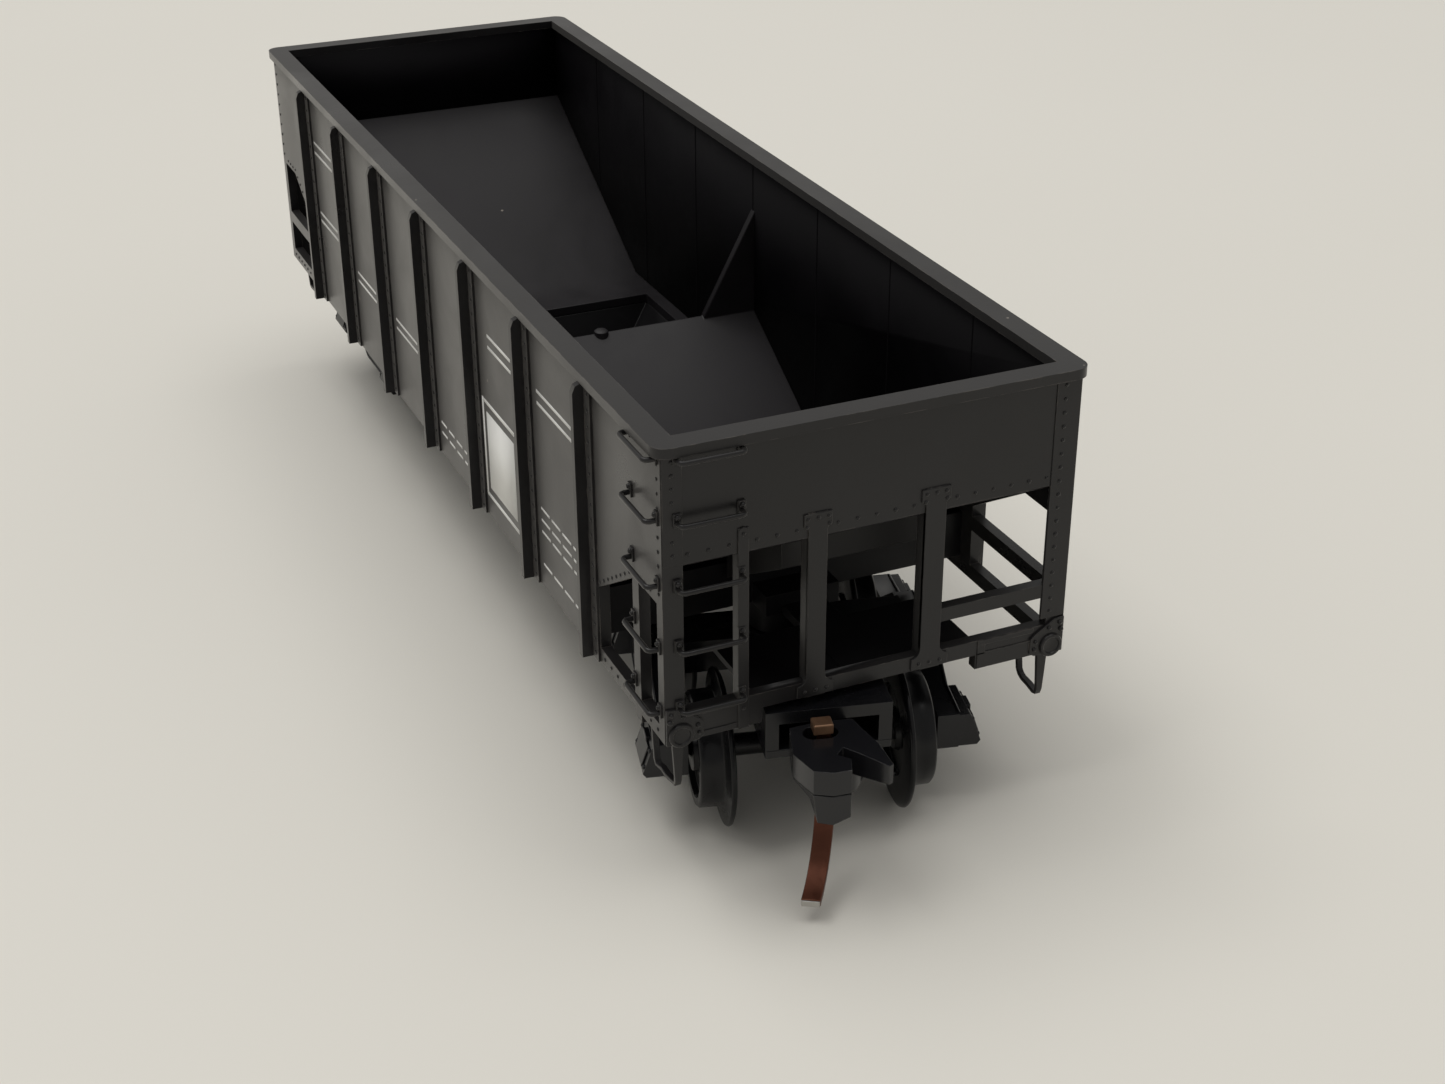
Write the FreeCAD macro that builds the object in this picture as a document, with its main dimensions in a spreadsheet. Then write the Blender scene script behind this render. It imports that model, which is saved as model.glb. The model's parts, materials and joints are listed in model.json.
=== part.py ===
# Twin-bay open-top hopper car for 9 mm gauge track, scale 1:160.
# Row frame: +X towards the A end, +Y to the left when looking towards +X, +Z up.
# The origin is on the floor under the middle of the body; the wheel flanges stand on Z = 0.
import FreeCAD, Part
import Sketcher
import math
import os
import re

doc = FreeCAD.newDocument("hopper_car")
sheet = doc.addObject("Spreadsheet::Sheet", "dims")

# alias, value in millimetres (or degrees, or a count), what it is
SIZES = [
    # body shell
    ("body_length", 62.72, "over the end sheets"),
    ("body_width", 18.8, "over the side sheets"),
    ("sill_z", 7.3, "side sill lower edge above the floor"),
    ("side_height", 13.46, "side sill lower edge to top of chord"),
    ("sheet_wall", 0.5, "thickness of side and end sheets"),
    ("chord_overhang", 0.3, "top chord outside the sheet face"),
    ("chord_width", 1.1, "top chord, outer to inner edge"),
    ("chord_height", 0.45, "top chord thickness"),
    ("chord_radius", 0.7, "top chord corner radius"),
    ("rib_count", 7, "ribs on each side"),
    ("rib_pitch", 7.77, "rib spacing"),
    ("rib_depth", 0.62, "rib web outside the sheet"),
    ("rib_web", 0.34, "rib web thickness"),
    ("rib_flange", 1.6, "rib flange width on the sheet"),
    ("rib_flange_depth", 0.12, "rib flange thickness"),
    ("rib_round", 0.45, "rounding at the top of a rib web"),
    ("sill_height", 0.7, "side sill strip"),
    ("window_inset", 7.21, "side end window, inner edge from the end"),
    ("side_window_low", 3.75, "window top edge at its inner side, above the sill"),
    ("window_bend_inset", 2.96, "where the window top edge levels out, from the end"),
    ("side_window_high", 6.37, "window top edge at its outer side, above the sill"),
    ("corner_leg", 0.6, "corner post on the side face"),
    ("corner_post", 0.9, "corner post on the end face"),
    ("stile_inset", 3.22, "side ladder stile, inner edge from the end"),
    ("ladder_stile_width", 0.68, "side ladder stile"),
    ("side_bar_z", 2.5, "side bar in a window without a ladder"),
    ("side_bar_height", 0.7, "side bar"),
    ("end_sheet_z", 8.2, "end sheet lower edge, above the sill"),
    ("end_sill_height", 1.42, "end sill"),
    ("end_sill_notch", 10.1, "width where the end sill is raised for the coupler box"),
    ("end_sill_clear", 0.7, "end sill lower edge in the notch, above the sill"),
    ("end_post_depth", 0.55, "end post, front to back"),
    ("end_post_proud", 0.06, "end post in front of the end sheet"),
    ("end_post_top", 9.3, "end post top, above the sill"),
    ("stile_post_y", -5.92, "ladder stile post, middle"),
    ("stile_post_width", 0.46, "ladder stile post"),
    ("left_post_y", -2.64, "left end post, middle"),
    ("left_post_width", 0.86, "left end post"),
    ("right_post_y", 2.74, "right end post, middle"),
    ("right_post_width", 0.96, "right end post"),
    ("end_bar_z", 2.8, "end bar, lower edge above the sill"),
    ("end_bar_height", 0.65, "end bar"),
    # hopper floor
    ("floor_wall", 0.55, "floor plate thickness"),
    ("slope_angle", 30, "slope sheets and ridge faces, degrees"),
    ("slope_top", 8.5, "slope sheet upper edge, above the sill"),
    ("ridge_top", 4.75, "cross ridge peak, above the sill"),
    ("bay_floor", 0.75, "flat bay floor, above the sill"),
    ("gusset_top", 10.34, "gusset plate upper corner, above the sill"),
    ("gusset_reach", 3.0, "gusset plate reach from the side sheet"),
    ("gusset_wall", 0.45, "gusset plate thickness"),
    # outlet bays and doors
    ("chute_inner_x", 8.3, "trough top, end nearer the middle"),
    ("chute_outer_x", 14.2, "trough top, end nearer the truck"),
    ("chute_low_inner_x", 10.2, "trough bottom, end nearer the middle"),
    ("chute_low_outer_x", 13.0, "trough bottom, end nearer the truck"),
    ("chute_inner_y", 1.3, "trough side next to the centre sill"),
    ("chute_outer_y", 8.5, "trough top, outer side"),
    ("chute_low_outer_y", 6.4, "trough bottom, outer side"),
    ("chute_drop", 2.5, "trough depth under the floor plate"),
    ("chute_wall", 0.4, "trough wall"),
    ("door_wall", 0.35, "outlet door thickness"),
    ("door_lip", 0.2, "outlet door beyond the trough"),
    ("door_barrel", 0.3, "outlet door hinge barrel radius"),
    # underframe
    ("centre_sill_width", 2.0, "centre sill"),
    ("centre_sill_drop", 1.6, "centre sill lower edge, below the side sill"),
    ("draft_sill_z", 0.75, "raised sill over the truck, lower edge above the side sill"),
    ("draft_sill_height", 0.45, "raised sill over the truck"),
    ("pivot_inset", 8.41, "kingpin from the end"),
    ("bolster_wall", 0.6, "body bolster plate"),
    ("bolster_top", 3.05, "body bolster top, above the side sill"),
    ("centre_plate", 1.8, "centre plate radius"),
    ("platform_inset", 4.76, "end platform, inner edge from the end"),
    ("platform_width", 10.4, "end platform"),
    ("platform_wall", 0.3, "end platform"),
    # weights
    ("weight_gap", 0.1, "ridge weight clear of the centre sill"),
    ("weight_side_gap", 0.6, "weights clear of the side sheets"),
    ("slope_weight_wall", 1.2, "slope weight plate"),
    ("slope_weight_width", 6.4, "slope weight across the car"),
    ("slope_weight_inset", 7.76, "slope weight, inner edge from the end"),
    ("slope_weight_length", 5.6, "slope weight length along X"),
    # ladders and steps
    ("rung_radius", 0.15, "ladder rung"),
    ("rung_standoff", 0.5, "rung centre line in front of the sheet"),
    ("rung_bracket", 0.34, "rung end bracket width"),
    ("rung_inner_inset", 3.06, "side rungs, inner bracket middle from the end"),
    ("rung_outer_inset", 0.36, "side rungs, outer bracket middle from the end"),
    ("end_rung_outer", 8.75, "end rungs, bracket at the corner"),
    ("end_rung_inner", 6.0, "end rungs, bracket at the stile post"),
    ("step_drop", 2.2, "stirrup step below the side sill"),
    ("step_band", 0.28, "stirrup step band thickness"),
    ("step_width", 0.45, "stirrup step band width"),
    ("step_y", 8.8, "stirrup step band middle from the centre line"),
    ("step_inset", 2.21, "stirrup step, inner leg from the end"),
    # truck frame, in the truck's own frame: origin at the kingpin, +X to the coupler
    ("near_swivel", -13.9, "A truck at rest, degrees"),
    ("far_swivel", 0, "B truck at rest, degrees"),
    ("wheel_base", 10.48, "axle to axle"),
    ("tread_radius", 2.62, "wheel tread"),
    ("flange_radius", 3.54, "wheel flange"),
    ("wheel_back", 3.77, "wheel inner face from the track centre"),
    ("flange_width", 0.42, "wheel flange"),
    ("wheel_face", 5.22, "wheel outer face from the track centre"),
    ("axle_radius", 0.5, "axle between the wheels"),
    ("journal_radius", 0.25, "axle end in its bearing"),
    ("journal_clear", 0.05, "axle end running clearance, radial"),
    ("journal_end", 6.75, "axle end from the track centre"),
    ("frame_inner_y", 5.55, "side frame inner face"),
    ("frame_outer_y", 6.55, "side frame outer face"),
    ("journal_box_y", 7.55, "journal box lid, lower outer edge"),
    ("journal_box_slant", 0.42, "journal box lid slants in by this at its top"),
    ("journal_box_length", 2.5, "journal box along X"),
    ("truck_bolster_top", 6.55, "truck bolster top above the floor"),
    ("truck_bolster_drop", 1.6, "truck bolster depth"),
    ("truck_bolster_width", 2.5, "truck bolster along X"),
    ("bowl_rise", 0.15, "centre bowl above the truck bolster"),
    ("bowl_gap", 0.05, "centre plate above the centre bowl"),
    ("kingpin_radius", 0.6, "kingpin shaft"),
    ("kingpin_clear", 0.05, "kingpin running clearance in the truck, radial"),
    ("kingpin_head", 1.1, "kingpin head radius"),
    ("kingpin_grip", 2.0, "kingpin shaft inside the centre plate"),
    # coupler box
    ("box_back", 5.2, "coupler box back wall, outer face"),
    ("box_front", 9.3, "coupler box front edge"),
    ("box_width", 5.44, "coupler box"),
    ("box_wall", 0.58, "coupler box side wall and roof"),
    ("box_roof_z", 7.6, "coupler box roof above the floor"),
    ("box_lid_z", 5.75, "coupler box lid upper face"),
    ("box_lid_wall", 0.4, "coupler box lid"),
    ("post_x", 6.7, "coupler pivot post"),
    ("post_radius", 0.5, "coupler pivot post"),
    ("post_clear", 0.06, "coupler shank clearance round the post, radial"),
    # coupler
    ("coupler_z", 6.44, "seam between the coupler halves"),
    ("seam_gap", 0.02, "half of the gap between the coupler halves"),
    ("shank_wall", 0.46, "each shank half"),
    ("shank_width", 1.5, "shank"),
    ("shank_eye", 0.85, "shank eye radius"),
    ("head_half", 1.12, "each half of the coupler head"),
    ("spring_start", 7.5, "spring pocket, end at the post"),
    ("spring_length", 1.5, "coupler spring"),
    ("spring_radius", 0.27, "coupler spring, to the wire centre"),
    ("spring_wire", 0.055, "coupler spring wire radius"),
    ("spring_pitch", 0.3, "coupler spring pitch"),
    ("spring_clear", 0.06, "spring pocket clearance"),
    ("pin_x", 11.0, "trip pin"),
    ("pin_y", -0.5, "trip pin"),
    ("pin_yaw", -18, "trip pin turned about the vertical, degrees"),
    ("pin_width", 0.8, "trip pin strip"),
    ("pin_wall", 0.42, "trip pin strip"),
    ("pin_hole", 0.46, "hole for the trip pin, radius"),
    ("pin_top", 8.05, "trip pin top above the floor"),
    ("pin_bend_z", 4.3, "where the trip pin starts to bend"),
    ("pin_bend", 3.1, "trip pin bend radius"),
    ("pin_sweep", 84, "trip pin bend, degrees"),
    ("pin_play", 0.55, "slot in the upper half beside the trip pin"),
    # brake gear at the B end
    ("brake_wheel_radius", 1.6, "brake wheel rim"),
    ("brake_rim", 0.17, "brake wheel rim section radius"),
    ("brake_y", -3.9, "brake wheel from the centre line, seen from the B end"),
    ("brake_z", 10.4, "brake wheel above the side sill"),
    ("brake_standoff", 1.05, "brake wheel in front of the end sheet"),
    ("housing_depth", 0.6, "brake housing"),
    ("housing_width", 1.8, "brake housing"),
    ("rod_radius", 0.14, "brake rod"),
    ("brake_step_z", 5.3, "brake step above the side sill"),
    ("reservoir_radius", 1.15, "air reservoir"),
    ("reservoir_length", 4.4, "air reservoir"),
    ("cylinder_radius", 0.95, "brake cylinder"),
    ("cylinder_length", 2.4, "brake cylinder"),
    ("valve_size", 1.5, "brake valve block"),
]

for row, (alias, amount, note) in enumerate(SIZES, start=1):
    sheet.set(f"A{row}", note)
    sheet.set(f"B{row}", str(amount))
    sheet.setAlias(f"B{row}", alias)
doc.recompute()

ALIASES = {alias for alias, _, _ in SIZES}
parts = {}                      # node name: document object


def expression(text):
    """The formula text with every size name pointed at its cell in the sheet."""
    text = str(text)
    return re.sub(r"[a-z][a-z_]*", lambda m: f"dims.{m[0]}" if m[0] in ALIASES else m[0], text)


def number(text):
    """The value of a formula now, as a plain number."""
    return float(sheet.evalExpression(expression(text)))


def bind(thing, **formulas):
    """Binds the named properties of an object to formulas on the sheet."""
    for prop, formula in formulas.items():
        thing.setExpression(prop.replace("__", "."), expression(formula))


def place(thing, x="0", y="0", z="0"):
    """Binds the position of an object to formulas on the sheet."""
    bind(thing, Placement__Base__x=x, Placement__Base__y=y, Placement__Base__z=z)


def turn(thing, axis, degrees):
    """Turns an object about an axis through its own origin, by a formula in degrees."""
    spin = number(degrees)
    thing.Placement.Rotation = FreeCAD.Rotation(FreeCAD.Vector(*axis), spin if spin else 90)
    thing.setExpression("Placement.Rotation.Angle", expression(degrees))


def box(x, y, z, length, width, height):
    """A box whose low corner and sizes are formulas."""
    solid = doc.addObject("Part::Box", "box")
    bind(solid, Length=length, Width=width, Height=height)
    place(solid, x, y, z)
    return solid


def slab(x, width, z, length, height):
    """A box that is centred across the car."""
    return box(x, f"-({width}) / 2", z, length, width, height)


def cylinder(x, y, z, radius, height, axis="z"):
    """A cylinder that starts at a point and runs along +X, +Y or +Z."""
    solid = doc.addObject("Part::Cylinder", "cylinder")
    bind(solid, Radius=radius, Height=height)
    if axis == "x":
        solid.Placement.Rotation = FreeCAD.Rotation(FreeCAD.Vector(0, 1, 0), 90)
    if axis == "y":
        solid.Placement.Rotation = FreeCAD.Rotation(FreeCAD.Vector(1, 0, 0), -90)
    place(solid, x, y, z)
    return solid


def fuse(pieces):
    """One solid from several that touch or overlap."""
    if len(pieces) == 1:
        return pieces[0]
    joined = doc.addObject("Part::MultiFuse", "fuse")
    joined.Shapes = pieces
    joined.Refine = True
    return joined


def cut(base, tools):
    """The base with every tool taken away."""
    left = doc.addObject("Part::Cut", "cut")
    left.Base = base
    left.Tool = fuse(tools)
    left.Refine = True
    return left


def group(pieces):
    """Several separate solids kept as one object."""
    together = doc.addObject("Part::Compound", "group")
    together.Links = pieces
    return together


def sketch(body, role, points, offset="0"):
    """A closed outline on an origin plane, every corner bound to formulas."""
    plane = [item for item in body.Origin.OriginFeatures if item.Role == role][0]
    outline = body.newObject("Sketcher::SketchObject", "outline")
    outline.AttachmentSupport = [(plane, "")]
    outline.MapMode = "FlatFace"
    bind(outline, AttachmentOffset__Base__z=offset)
    corners = [FreeCAD.Vector(number(across), number(up), 0) for across, up in points]
    count = len(corners)
    for i in range(count):
        outline.addGeometry(Part.LineSegment(corners[i], corners[(i + 1) % count]))
    for i in range(count):
        outline.addConstraint(Sketcher.Constraint("Coincident", i, 2, (i + 1) % count, 1))
    for i, (across, up) in enumerate(points):
        for kind, formula in (("DistanceX", across), ("DistanceY", up)):
            rule = Sketcher.Constraint(kind, -1, 1, i, 1, number(formula))
            index = outline.addConstraint(rule)
            outline.setExpression(f"Constraints[{index}]", expression(formula))
    return outline


def prism(role, points, middle, thickness):
    """An outline on the XY, XZ or YZ plane, padded evenly both ways from the middle."""
    body = doc.addObject("PartDesign::Body", "prism")
    # the XZ plane's normal is -Y
    offset = f"-({middle})" if role == "XZ_Plane" else middle
    pad = body.newObject("PartDesign::Pad", "pad")
    pad.Profile = sketch(body, role, points, offset)
    pad.SideType = "Symmetric"
    bind(pad, Length=thickness)
    return body


def spun(points, x="0", y="0", z="0"):
    """An outline of (along Y, radius) corners turned about the Y axis through a point."""
    body = doc.addObject("PartDesign::Body", "spun")
    outline = sketch(body, "YZ_Plane", points)
    turned = body.newObject("PartDesign::Revolution", "turned")
    turned.Profile = outline
    turned.ReferenceAxis = (outline, ["H_Axis"])
    turned.Angle = 360
    place(body, x, y, z)
    return body


def keep(name, thing):
    """Names an object as one of the car's pieces."""
    thing.Label = name
    parts[name] = thing


def at_end(end, solid):
    """Turns a piece that was made for the A end round to the B end."""
    if end == "b":
        solid = wrap(solid)
        turn(solid, (0, 0, 1), "180")
    return solid


def wrap(solid):
    """A holder with a placement of its own round one object."""
    return group([solid])


def both_ends(make):
    """The solids that a function makes, at the A end and turned round to the B end."""
    return [at_end(end, make()) for end in ("a", "b")]


def above(formula):
    """A height given above the side sill, as a height above the floor."""
    return f"sill_z + ({formula})"


# ---------------------------------------------------------------- body shell

HALF_LENGTH = "body_length / 2"
HALF_WIDTH = "body_width / 2"
INNER_X = "(body_length / 2 - sheet_wall)"
WINDOW_X = "(body_length / 2 - window_inset)"
TRUCK_PIVOT = "(body_length / 2 - pivot_inset)"
INNER_Y = "(body_width / 2 - sheet_wall)"


def rib_row(side):
    """The ribs of one side: a web with a rounded top on a flat flange, patterned along X."""
    face = f"({side} * body_width / 2)"
    tip = f"({side} * (body_width / 2 + rib_depth))"
    rounded = f"({side} * (body_width / 2 + rib_depth - rib_round))"
    foot = f"({side} * (body_width / 2 - sheet_wall / 2))"
    top = above("side_height - chord_height")
    ribs = doc.addObject("PartDesign::Body", "rib_row")
    first = "-rib_pitch * (rib_count - 1) / 2"
    web = ribs.newObject("PartDesign::Pad", "web")
    web.Profile = sketch(ribs, "YZ_Plane", [
        (foot, "sill_z"), (tip, "sill_z"),
        (tip, f"{top} - rib_round"),
        (f"({side} * (body_width / 2 + rib_depth - rib_round * 0.3))", f"{top} - rib_round * 0.3"),
        (rounded, top), (foot, top)], first)
    web.SideType = "Symmetric"
    bind(web, Length="rib_web")
    flange = ribs.newObject("PartDesign::Pad", "flange")
    edge = f"({side} * (body_width / 2 + rib_flange_depth))"
    flange.Profile = sketch(ribs, "YZ_Plane", [
        (foot, "sill_z"), (edge, "sill_z"), (edge, top), (foot, top)], first)
    flange.SideType = "Symmetric"
    bind(flange, Length="rib_flange")
    row = ribs.newObject("PartDesign::LinearPattern", "row")
    row.Originals = [web, flange]
    row.Direction = (ribs.Origin.OriginFeatures[0], [""])
    bind(row, Length="rib_pitch * (rib_count - 1)", Occurrences="rib_count")
    ribs.Tip = row
    return ribs


def chord():
    """The flat rim round the top, with rounded corners."""
    rim = doc.addObject("PartDesign::Body", "chord")
    x = "(body_length / 2 + chord_overhang)"
    y = "(body_width / 2 + chord_overhang)"
    outer = rim.newObject("PartDesign::Pad", "outer")
    height = above("side_height - chord_height")
    outer.Profile = sketch(rim, "XY_Plane", [
        (f"-{x}", f"-{y}"), (x, f"-{y}"), (x, y), (f"-{x}", y)], height)
    bind(outer, Length="chord_height")
    doc.recompute()
    upright = [f"Edge{i + 1}" for i, edge in enumerate(outer.Shape.Edges)
               if edge.BoundBox.ZLength > 0.5 * number("chord_height")]
    corners = rim.newObject("PartDesign::Fillet", "corners")
    corners.Base = (outer, upright)
    bind(corners, Radius="chord_radius")
    well = rim.newObject("PartDesign::Pocket", "well")
    u = "(body_length / 2 + chord_overhang - chord_width)"
    v = "(body_width / 2 + chord_overhang - chord_width)"
    well.Profile = sketch(rim, "XY_Plane", [
        (f"-{u}", f"-{v}"), (u, f"-{v}"), (u, v), (f"-{u}", v)], height)
    well.Type = "ThroughAll"
    well.Reversed = True
    rim.Tip = well
    return rim


def side_window(side):
    """The open corner of a side sheet at the A end, under the slope sheet."""
    return prism("XZ_Plane", [
        (WINDOW_X, above("sill_height")),
        (f"{HALF_LENGTH} - corner_leg", above("sill_height")),
        (f"{HALF_LENGTH} - corner_leg", above("side_window_high")),
        (f"{HALF_LENGTH} - window_bend_inset", above("side_window_high")),
        (WINDOW_X, above("side_window_low"))],
        f"{side} * {HALF_WIDTH}", "4 * sheet_wall")


def end_window():
    """The opening of an end, between the corner posts, from end sill to end sheet."""
    return slab(f"{HALF_LENGTH} - 2 * sheet_wall", "body_width - 2 * corner_post",
                above("end_sill_height"), "3 * sheet_wall", "end_sheet_z - end_sill_height")


def end_sill_notch():
    """The raised middle of the end sill, which clears the coupler box."""
    return slab(f"{HALF_LENGTH} - 2 * sheet_wall", "end_sill_notch", above("-1"),
                "3 * sheet_wall", "end_sill_clear + 1")


def end_post(middle, width, foot):
    """An upright of the end frame, lapped over the end sheet."""
    return box(f"{HALF_LENGTH} + end_post_proud - end_post_depth", f"{middle} - {width} / 2",
               above(foot), "end_post_depth", width, f"end_post_top - ({foot})")


def end_frame():
    """Posts and bars of the A end, and the bars in its side windows."""
    bar_start = "right_post_y + right_post_width / 2"
    return fuse([
        end_post("stile_post_y", "stile_post_width", "0"),
        end_post("left_post_y", "left_post_width", "end_sill_clear"),
        end_post("right_post_y", "right_post_width", "end_sill_clear"),
        box(f"{HALF_LENGTH} - sheet_wall", bar_start, above("end_bar_z"),
            "sheet_wall", f"{HALF_WIDTH} - corner_post / 2 - ({bar_start})", "end_bar_height"),
        box(f"{WINDOW_X} - 0.3", INNER_Y, above("side_bar_z"),
            "window_inset - corner_leg / 2 + 0.3", "sheet_wall", "side_bar_height"),
        box(f"{HALF_LENGTH} - stile_inset", f"-{HALF_WIDTH}", above("-0.4"),
            "ladder_stile_width", "sheet_wall", "side_window_high + 0.6")])


def body_shell():
    """Sides, ends, chord, ribs and end frames in one moulding."""
    walls = cut(
        box(f"-{HALF_LENGTH}", f"-{HALF_WIDTH}", "sill_z", "body_length", "body_width",
            "side_height - chord_height / 2"),
        [box(f"-{INNER_X}", f"-{INNER_Y}", "sill_z - 1", f"2 * {INNER_X}", f"2 * {INNER_Y}",
             "side_height + 2")])
    openings = both_ends(lambda: side_window(1)) + both_ends(lambda: side_window(-1))
    openings += both_ends(end_window) + both_ends(end_sill_notch)
    return fuse([cut(walls, openings), chord(), rib_row(1), rib_row(-1)] + both_ends(end_frame))


# -------------------------------------------------------------- hopper floor

RUN = "(1 / tan(slope_angle))"
RISE = "(floor_wall / cos(slope_angle))"
SLOPE_FOOT = f"({INNER_X} - (slope_top - bay_floor) * {RUN})"
SLOPE_FOOT_UNDER = f"({INNER_X} - (slope_top - {RISE} - bay_floor + floor_wall) * {RUN})"
RIDGE_FOOT = f"((ridge_top - bay_floor) * {RUN})"
RIDGE_FOOT_UNDER = f"((ridge_top - {RISE} - bay_floor + floor_wall) * {RUN})"


def folded_plate():
    """Slope sheets, flat bay floors and the cross ridge as one folded plate."""
    upper = [(INNER_X, "slope_top"), (SLOPE_FOOT, "bay_floor"), (RIDGE_FOOT, "bay_floor")]
    under = [(RIDGE_FOOT_UNDER, "bay_floor - floor_wall"),
             (SLOPE_FOOT_UNDER, "bay_floor - floor_wall"), (INNER_X, f"slope_top - {RISE}")]
    outline = [(x, above(z)) for x, z in upper]
    outline += [("0", above("ridge_top"))]
    outline += [(f"-{x}", above(z)) for x, z in reversed(upper)]
    outline += [(f"-{x}", above(z)) for x, z in reversed(under)]
    outline += [("0", above(f"ridge_top - {RISE}"))]
    outline += [(x, above(z)) for x, z in under]
    return prism("XZ_Plane", outline, "0", f"2 * {INNER_Y}")


def gusset(side):
    """A three-cornered plate between the ridge and one side sheet."""
    return prism("YZ_Plane", [
        (f"{side} * {INNER_Y}", above(f"ridge_top - {RISE} / 2")),
        (f"{side} * {INNER_Y}", above("gusset_top")),
        (f"{side} * ({INNER_Y} - gusset_reach)", above("ridge_top")),
        (f"{side} * ({INNER_Y} - gusset_reach)", above(f"ridge_top - {RISE} / 2"))],
        "0", "gusset_wall")


def trough(end, side, shrink, extra):
    """A four-sided funnel under the floor plate, smaller by its wall on every side."""
    funnel = doc.addObject("Part::Wedge", "trough")
    flip = "-1" if end == "b" else "1"
    funnel.Placement.Rotation = FreeCAD.Rotation(FreeCAD.Vector(1, 0, 0), 90)
    # the wedge's own Y is the height and its own Z is -Y of the car
    ends = [f"{flip} * (chute_inner_x + {shrink})", f"{flip} * (chute_outer_x - {shrink})"]
    low_ends = [f"{flip} * (chute_low_inner_x + {shrink})",
                f"{flip} * (chute_low_outer_x - {shrink})"]
    sides = [f"{-side} * (chute_inner_y + {shrink})", f"{-side} * (chute_outer_y - {shrink})"]
    low_sides = [f"{-side} * (chute_inner_y + {shrink})",
                 f"{-side} * (chute_low_outer_y - {shrink})"]
    if end == "b":
        ends.reverse()
        low_ends.reverse()
    if side > 0:
        sides.reverse()
        low_sides.reverse()
    # the inner funnel runs on past both ends with the same slope
    bind(funnel, Ymin=f"-chute_drop - {extra}", Ymax=extra,
         Xmin=low_ends[0], Xmax=low_ends[1], Zmin=low_sides[0], Zmax=low_sides[1],
         X2min=ends[0], X2max=ends[1], Z2min=sides[0], Z2max=sides[1])
    place(funnel, "0", "0", above("bay_floor - floor_wall"))
    return funnel


def hopper_floor():
    """The folded plate with its gussets and the four holes over the troughs."""
    holes = []
    for end in (1, -1):
        for side in (1, -1):
            low_x = "chute_inner_x + chute_wall" if end > 0 else "-chute_outer_x + chute_wall"
            low_y = "chute_inner_y + chute_wall" if side > 0 else "-chute_outer_y + chute_wall"
            holes.append(box(low_x, low_y, above("bay_floor - 2 * floor_wall"),
                             "chute_outer_x - chute_inner_x - 2 * chute_wall",
                             "chute_outer_y - chute_inner_y - 2 * chute_wall", "3 * floor_wall"))
    return cut(fuse([folded_plate(), gusset(1), gusset(-1)]), holes)


def outlet_bay(end):
    """The two discharge troughs of one bay, left and right of the centre sill."""
    return group([cut(trough(end, side, "0", "0"), [trough(end, side, "chute_wall", "0.001")])
                  for side in (1, -1)])


def outlet_doors(end):
    """The two fixed outlet doors of one bay, each with its hinge barrel."""
    doors = []
    flip = 1 if end == "a" else -1
    low_x = "chute_low_inner_x - door_lip" if flip > 0 else "-chute_low_outer_x - door_lip"
    barrel_x = f"{flip} * (chute_low_inner_x - door_lip)"
    top = above("bay_floor - floor_wall - chute_drop")
    length = "chute_low_outer_x - chute_low_inner_x + 2 * door_lip"
    width = "chute_low_outer_y - chute_inner_y + door_lip"
    for side in (1, -1):
        low_y = "chute_inner_y" if side > 0 else f"-chute_inner_y - ({width})"
        doors.append(fuse([box(low_x, low_y, f"{top} - door_wall", length, width, "door_wall"),
                           cylinder(barrel_x, low_y, f"{top} - door_barrel", "door_barrel",
                                    width, "y")]))
    return group(doors)


# ---------------------------------------------------------------- underframe

def sill_beam():
    """The centre sill, deep between the trucks and raised over them."""
    deep_top = "bay_floor - floor_wall"
    raised_top = "draft_sill_z + draft_sill_height"
    under_slope = f"({INNER_X} - (slope_top - {RISE} - ({raised_top})) * {RUN})"
    half = [
        (INNER_X, "draft_sill_z"), (f"{TRUCK_PIVOT} - 2.35", "draft_sill_z"),
        (f"{TRUCK_PIVOT} - 3.35", "-centre_sill_drop")]
    upper = [(SLOPE_FOOT_UNDER, deep_top), (f"{under_slope} + 0.2", raised_top),
             (INNER_X, raised_top)]
    outline = [(x, above(z)) for x, z in half]
    outline += [(f"-({x})", above(z)) for x, z in reversed(half)]
    outline += [(f"-({x})", above(z)) for x, z in reversed(upper)]
    outline += [(x, above(z)) for x, z in upper]
    return prism("XZ_Plane", outline, "0", "centre_sill_width")


def body_bolster():
    """The cross plate over a truck, its middle block and the centre plate."""
    return fuse([
        slab(f"{TRUCK_PIVOT} - bolster_wall / 2", f"2 * {INNER_Y}", above("draft_sill_z"),
             "bolster_wall", "bolster_top - draft_sill_z"),
        slab(f"{TRUCK_PIVOT} - centre_plate", "2 * centre_plate", above("draft_sill_z"),
             "2 * centre_plate", "1"),
        cylinder(TRUCK_PIVOT, "0", "truck_bolster_top + bowl_rise + bowl_gap", "centre_plate",
                 "sill_z + draft_sill_z + 0.2 - truck_bolster_top - bowl_rise - bowl_gap")])


def end_platform():
    """The shelf inside the end sill."""
    return slab(f"{HALF_LENGTH} - platform_inset", "platform_width", above("draft_sill_z + 0.1"),
                "platform_inset - sheet_wall", "platform_wall")


def kingpin_bore():
    """The hole in the centre plate that grips the kingpin."""
    return cylinder(TRUCK_PIVOT, "0", "truck_bolster_top", "kingpin_radius",
                    "bowl_rise + bowl_gap + kingpin_grip")


def underframe():
    """Centre sill, body bolsters and end platforms in one moulding."""
    solids = [sill_beam()] + both_ends(body_bolster) + both_ends(end_platform)
    return cut(fuse(solids), both_ends(kingpin_bore))


# ------------------------------------------------------------------- weights

def ridge_weight():
    """A steel bar that fills the space under the cross ridge."""
    low = "(bay_floor - floor_wall + weight_gap)"
    under = f"ridge_top - {RISE}"
    reach = f"(({under} - {low}) * {RUN})"
    return prism("XZ_Plane", [
        (f"-{reach}", above(low)), (reach, above(low)), ("0", above(under))],
        "0", f"2 * ({INNER_Y} - weight_side_gap)")


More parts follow.
